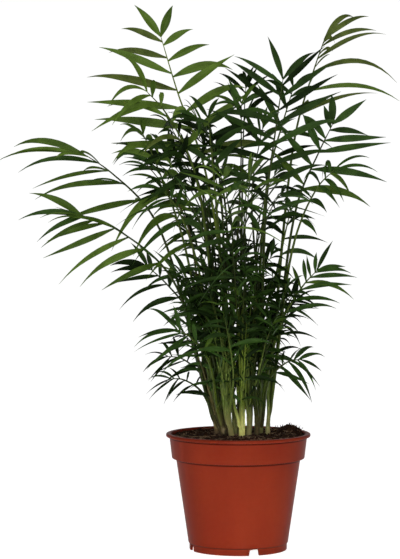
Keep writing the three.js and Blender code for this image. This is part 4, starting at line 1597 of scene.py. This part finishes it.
@dataclass
class PalmCrown:
    """The crown: it settles every frond by the part's rule and skins stalks, ribs and leaflets."""

    canes: tuple[Cane, ...]
    leaflet_rule: LeafletRule = field(default_factory=LeafletRule)
    finer_key: int = 100  # the number before that of the first finer frond
    rib_steps: int = 30
    rib_sides: int = 7
    rib_places: tuple[float, ...] = (0, SHOULDER_PLACE, 0.8, 1)
    main_radii: tuple[float, ...] = (2.1, 1.35, 0.75, 0.4)  # at these places
    fill_radii: tuple[float, ...] = (2.1, 0.9, 0.5, 0.3)
    sheath: tuple[Point, ...] = (  # how far down and out it is, as parts, and its radius
        (1, 0, 0.8), (0.7, 0.3, 1.7), (0.4, 0.72, 2.3), (0.2, 0.93, 2.2))
    sheath_length: float = 30
    sheath_room: float = 3  # what it keeps from the foot of its cane
    green_play: float = 0.8  # over 0.5, some leaflets take the next green
    heart: float = 46  # how far from the clump's middle the leaflets begin to take painted shade, darker greens
    heart_shade: float = 2.4

    def settled(self) -> list[tuple[Frond, Limb, str]]:
        """Settles every frond.

        Returns:
            Each frond with its limb and the name of its solid, which the finer fronds don't have.
        """
        tier_rule, seat_rule = TierRule(self.canes), SeatRule(self.canes)
        limbs = [cane.limb() for cane in self.canes]
        settled = []
        for frond in [*MAIN_FRONDS, *tier_rule.rows(TIERS, 0)]:
            limb = seat_rule.settled_limb(frond, limbs)
            if limb is not None:
                limbs.append(limb)
                settled.append((frond, limb, f"frond_{frond.name}"))
        finer = tier_rule.rows(FINER_TIERS, self.finer_key)
        return settled + [(frond, seat_rule.limb(frond, 0), "") for frond in finer]

    def stalk_line(self, frond: Frond, limb: Limb) -> tuple[np.ndarray, np.ndarray]:
        """Gives a stalk's middle line, from inside its cane to the tip of its rib.

        Args:
            frond: The frond's row.
            limb: Its settled limb.

        Returns:
            The points of the line, one a row, and the radius at each of them.
        """
        places = np.linspace(0, 1, self.rib_steps + 1)
        line = catmull_rom(limb.controls, places)
        cane = self.canes[limb.cane]
        foot_height = limb.controls[0][2] - cane.start
        outward = unit((limb.controls[0] - cane.at(foot_height)) * (1, 1, 0))
        room = min(self.sheath_length, foot_height - self.sheath_room)
        sheath = [cane.at(foot_height - drop * room) + outward * limb.seat * out
                  for drop, out, _ in self.sheath]
        radii = np.interp(places, self.rib_places, self.fill_radii if frond.fills else self.main_radii)
        return np.vstack([sheath, line]), np.concatenate([[row[2] for row in self.sheath], radii])

    def green(self, frond: Frond, leaflet: Leaflet, key: int) -> int:
        """Chooses a leaflet's green, which is mostly its frond's and darker near the crown's heart, as
        painted shade.

        Args:
            frond: Its frond.
            leaflet: The leaflet.
            key: The frond's number.

        Returns:
            The green's number.
        """
        greens = list(Leaf)
        # painted shade: darker greens for leaflets rooted near the middle of the clump
        shade = max(0, 1 - math.dist(leaflet.root[:2], CLUMP_MIDDLE) / self.heart) * self.heart_shade
        shift = round(between(-self.green_play, self.green_play, leaflet.length, key) + shade)
        return min(len(greens) - 1, max(0, greens.index(frond.green) + shift))

    def foliage(self) -> dict[Region, Foliage]:
        """Skins every stalk, rib and leaflet.

        Returns:
            The foliage of each region.
        """
        tones = list(Tone)
        foliage = {region: Foliage() for region in Region}
        for key, (frond, limb, node) in enumerate(self.settled(), 1):
            own = foliage[frond.region]
            line, radii = self.stalk_line(frond, limb)
            tone = tones.index(frond.rib or self.canes[limb.cane].tone)
            own.ribs.add_rings(tube_rings(line, radii, self.rib_sides, limb.face), tone)
            for leaflet in self.leaflet_rule.leaflets(frond, limb, key):
                own.blades.add_rings(self.leaflet_rule.rings(leaflet), self.green(frond, leaflet, key))
            if node:
                own.nodes.append(node)
        return foliage

    def build(self) -> list[bpy.types.Object]:
        """Makes the two pieces of each region.

        Returns:
            The pieces.
        """
        leaf_materials = [green.finish().material() for green in Leaf]
        rib_materials = [tone.finish("rib").material() for tone in Tone]
        # shaded copies of the rib materials, darker inside the crown as painted shade
        shaded_rib_materials = [tone.finish("inner_rib", Tone.DARK.value[0]).material() for tone in Tone]
        pieces = []
        for region, own in self.foliage().items():
            slot = "deep_leaf" if region.is_inner() else "lit_leaf"
            tones = shaded_rib_materials if region.is_inner() else rib_materials
            leaves = own.blades.build(f"leaflets_{region.value}", leaf_materials, crease=34)
            pieces.append(settle(leaves, own.nodes))
            stalks = own.ribs.build(f"ribs_{region.value}", tones, crease=60)
            pieces.append(settle(stalks, own.nodes))
        return pieces


# ---- The studio ---------------------------------------------------------------------------------


@dataclass
class SoftLight:
    """One soft lamp: where it stands, what it looks at, its size in metres and its power in watts."""

    name: str
    place: Point
    target: Point
    width: float
    height: float
    power: float
    spread: float = 180  # the angle of its beam, in degrees

    def build(self) -> None:
        """Makes the lamp and turns it to its target."""
        lamp = bpy.data.lights.new(self.name, "AREA")
        lamp.shape = "RECTANGLE"
        lamp.size = self.width
        lamp.size_y = self.height
        lamp.energy = self.power
        lamp.spread = math.radians(self.spread)
        stand = bpy.data.objects.new(self.name, lamp)
        stand.location = self.place
        aim = Vector(self.target) - Vector(self.place)
        stand.rotation_euler = aim.to_track_quat("-Z", "Y").to_euler()
        bpy.context.scene.collection.objects.link(stand)


@dataclass
class Studio:
    """The floor, the pale surroundings, the lamps and the camera."""

    floor_size: float = 12
    floor_drop: float = 0.2  # how far under the pot it lies, in millimetres
    floor_color: str = "#8c8c8c"
    floor_roughness: float = 0.9
    floor_glow: float = 0.96
    band_top: float = 0.3  # the sine of the elevation up to which the surroundings are white
    band_fade: float = 0.12
    band_glow: float = 1.02
    sky_glow: float = 0.12
    band_half: float = 0.2  # how far to each side the white band reaches, as a part of the direction
    side_fade: float = 0.3
    side_glow: float = 0.42
    camera_place: Point = (-0.045, -2.8, 0.44)
    camera_pitch: float = -2.5
    focal_px: float = 2388
    frame_px: tuple[int, int] = (400, 559)
    sensor: float = 36
    lamps: tuple[SoftLight, ...] = (
        SoftLight("left_softbox", place=(-0.6, -2.6, 1.3), target=(0, 0, 0.3), width=0.4, height=1.5,
                  power=17),
        SoftLight("right_softbox", place=(0.55, -2.6, 1.2), target=(0, 0, 0.3), width=0.4, height=1.5,
                  power=14),
        SoftLight("low_softbox", place=(0.08, -2.5, 0.1), target=(0, 0, 0.05), width=0.2, height=0.2,
                  power=0.16, spread=7),
        SoftLight("top_softbox", place=(0, -0.6, 2.4), target=(0, 0, 0.4), width=1.4, height=1.4,
                  power=16),
    )

    def add_floor(self) -> None:
        """Lays the pale floor, which isn't part of the object."""
        half = self.floor_size / 2 / MM
        corners = [(x * half, y * half, -self.floor_drop)
                   for x, y in ((-1, -1), (1, -1), (1, 1), (-1, 1))]
        batch = MeshBatch()
        batch.add(np.array(corners), [(0, 1, 2, 3)])
        material = bpy.data.materials.new("white_studio_floor")
        material.use_nodes = True
        shader = material.node_tree.nodes["Principled BSDF"]
        shader.inputs["Base Color"].default_value = linear(self.floor_color)
        shader.inputs["Roughness"].default_value = self.floor_roughness
        shader.inputs["Emission Color"].default_value = WHITE
        shader.inputs["Emission Strength"].default_value = self.floor_glow
        batch.build("studio_floor", [material])

    def add_surroundings(self) -> None:
        """Puts a white band behind the object, as a white tent does, greyer sides and a dark ceiling."""
        world = bpy.data.worlds.new("white_tent")
        world.use_nodes = True
        tree = world.node_tree
        place = add_node(tree, "ShaderNodeTexCoord", {})
        heading = add_node(tree, "ShaderNodeSeparateXYZ", {0: place.outputs["Generated"]})
        aside = add_node(tree, "ShaderNodeMath", {0: heading.outputs["X"]}, operation="ABSOLUTE")
        back = add_node(tree, "ShaderNodeMapRange", {
            "Value": aside.outputs[0], "From Min": self.band_half,
            "From Max": self.band_half + self.side_fade,
            "To Min": self.band_glow, "To Max": self.side_glow})
        behind = add_node(tree, "ShaderNodeMapRange", {
            "Value": heading.outputs["Y"], "From Min": 0, "From Max": self.side_fade,
            "To Min": self.side_glow, "To Max": back.outputs["Result"]})
        glow = add_node(tree, "ShaderNodeMapRange", {
            "Value": heading.outputs["Z"], "From Min": self.band_top,
            "From Max": self.band_top + self.band_fade,
            "To Min": behind.outputs["Result"], "To Max": self.sky_glow}).outputs["Result"]
        tree.links.new(glow, tree.nodes["Background"].inputs["Strength"])
        tree.nodes["Background"].inputs["Color"].default_value = WHITE
        bpy.context.scene.world = world

    def add_camera(self) -> None:
        """Places the camera, with the focal length worked out from the frame's size in pixels."""
        lens = bpy.data.cameras.new("camera")
        lens.sensor_width = self.sensor
        lens.lens = self.focal_px * self.sensor / max(self.frame_px)
        camera = bpy.data.objects.new("camera", lens)
        camera.location = self.camera_place
        camera.rotation_euler = (math.radians(90 + self.camera_pitch), 0, 0)
        bpy.context.scene.collection.objects.link(camera)
        bpy.context.scene.camera = camera

    def build(self) -> None:
        """Makes the camera, the floor, the surroundings and the lamps."""
        self.add_camera()
        self.add_floor()
        self.add_surroundings()
        for lamp in self.lamps:
            lamp.build()
        bpy.context.scene.view_settings.view_transform = "Standard"


def main() -> None:
    """Builds the studio, the pot, the peat, the canes and the crown, in that order."""
    logging.basicConfig(level=logging.INFO, format="%(name)s: %(message)s", stream=sys.stdout)
    Studio().build()
    pot = NurseryPot()
    pot.build()
    PeatBed(pot).build()
    clump = CaneClump()
    clump.build()
    PalmCrown(clump.canes).build()


if __name__ == "__main__":
    main()
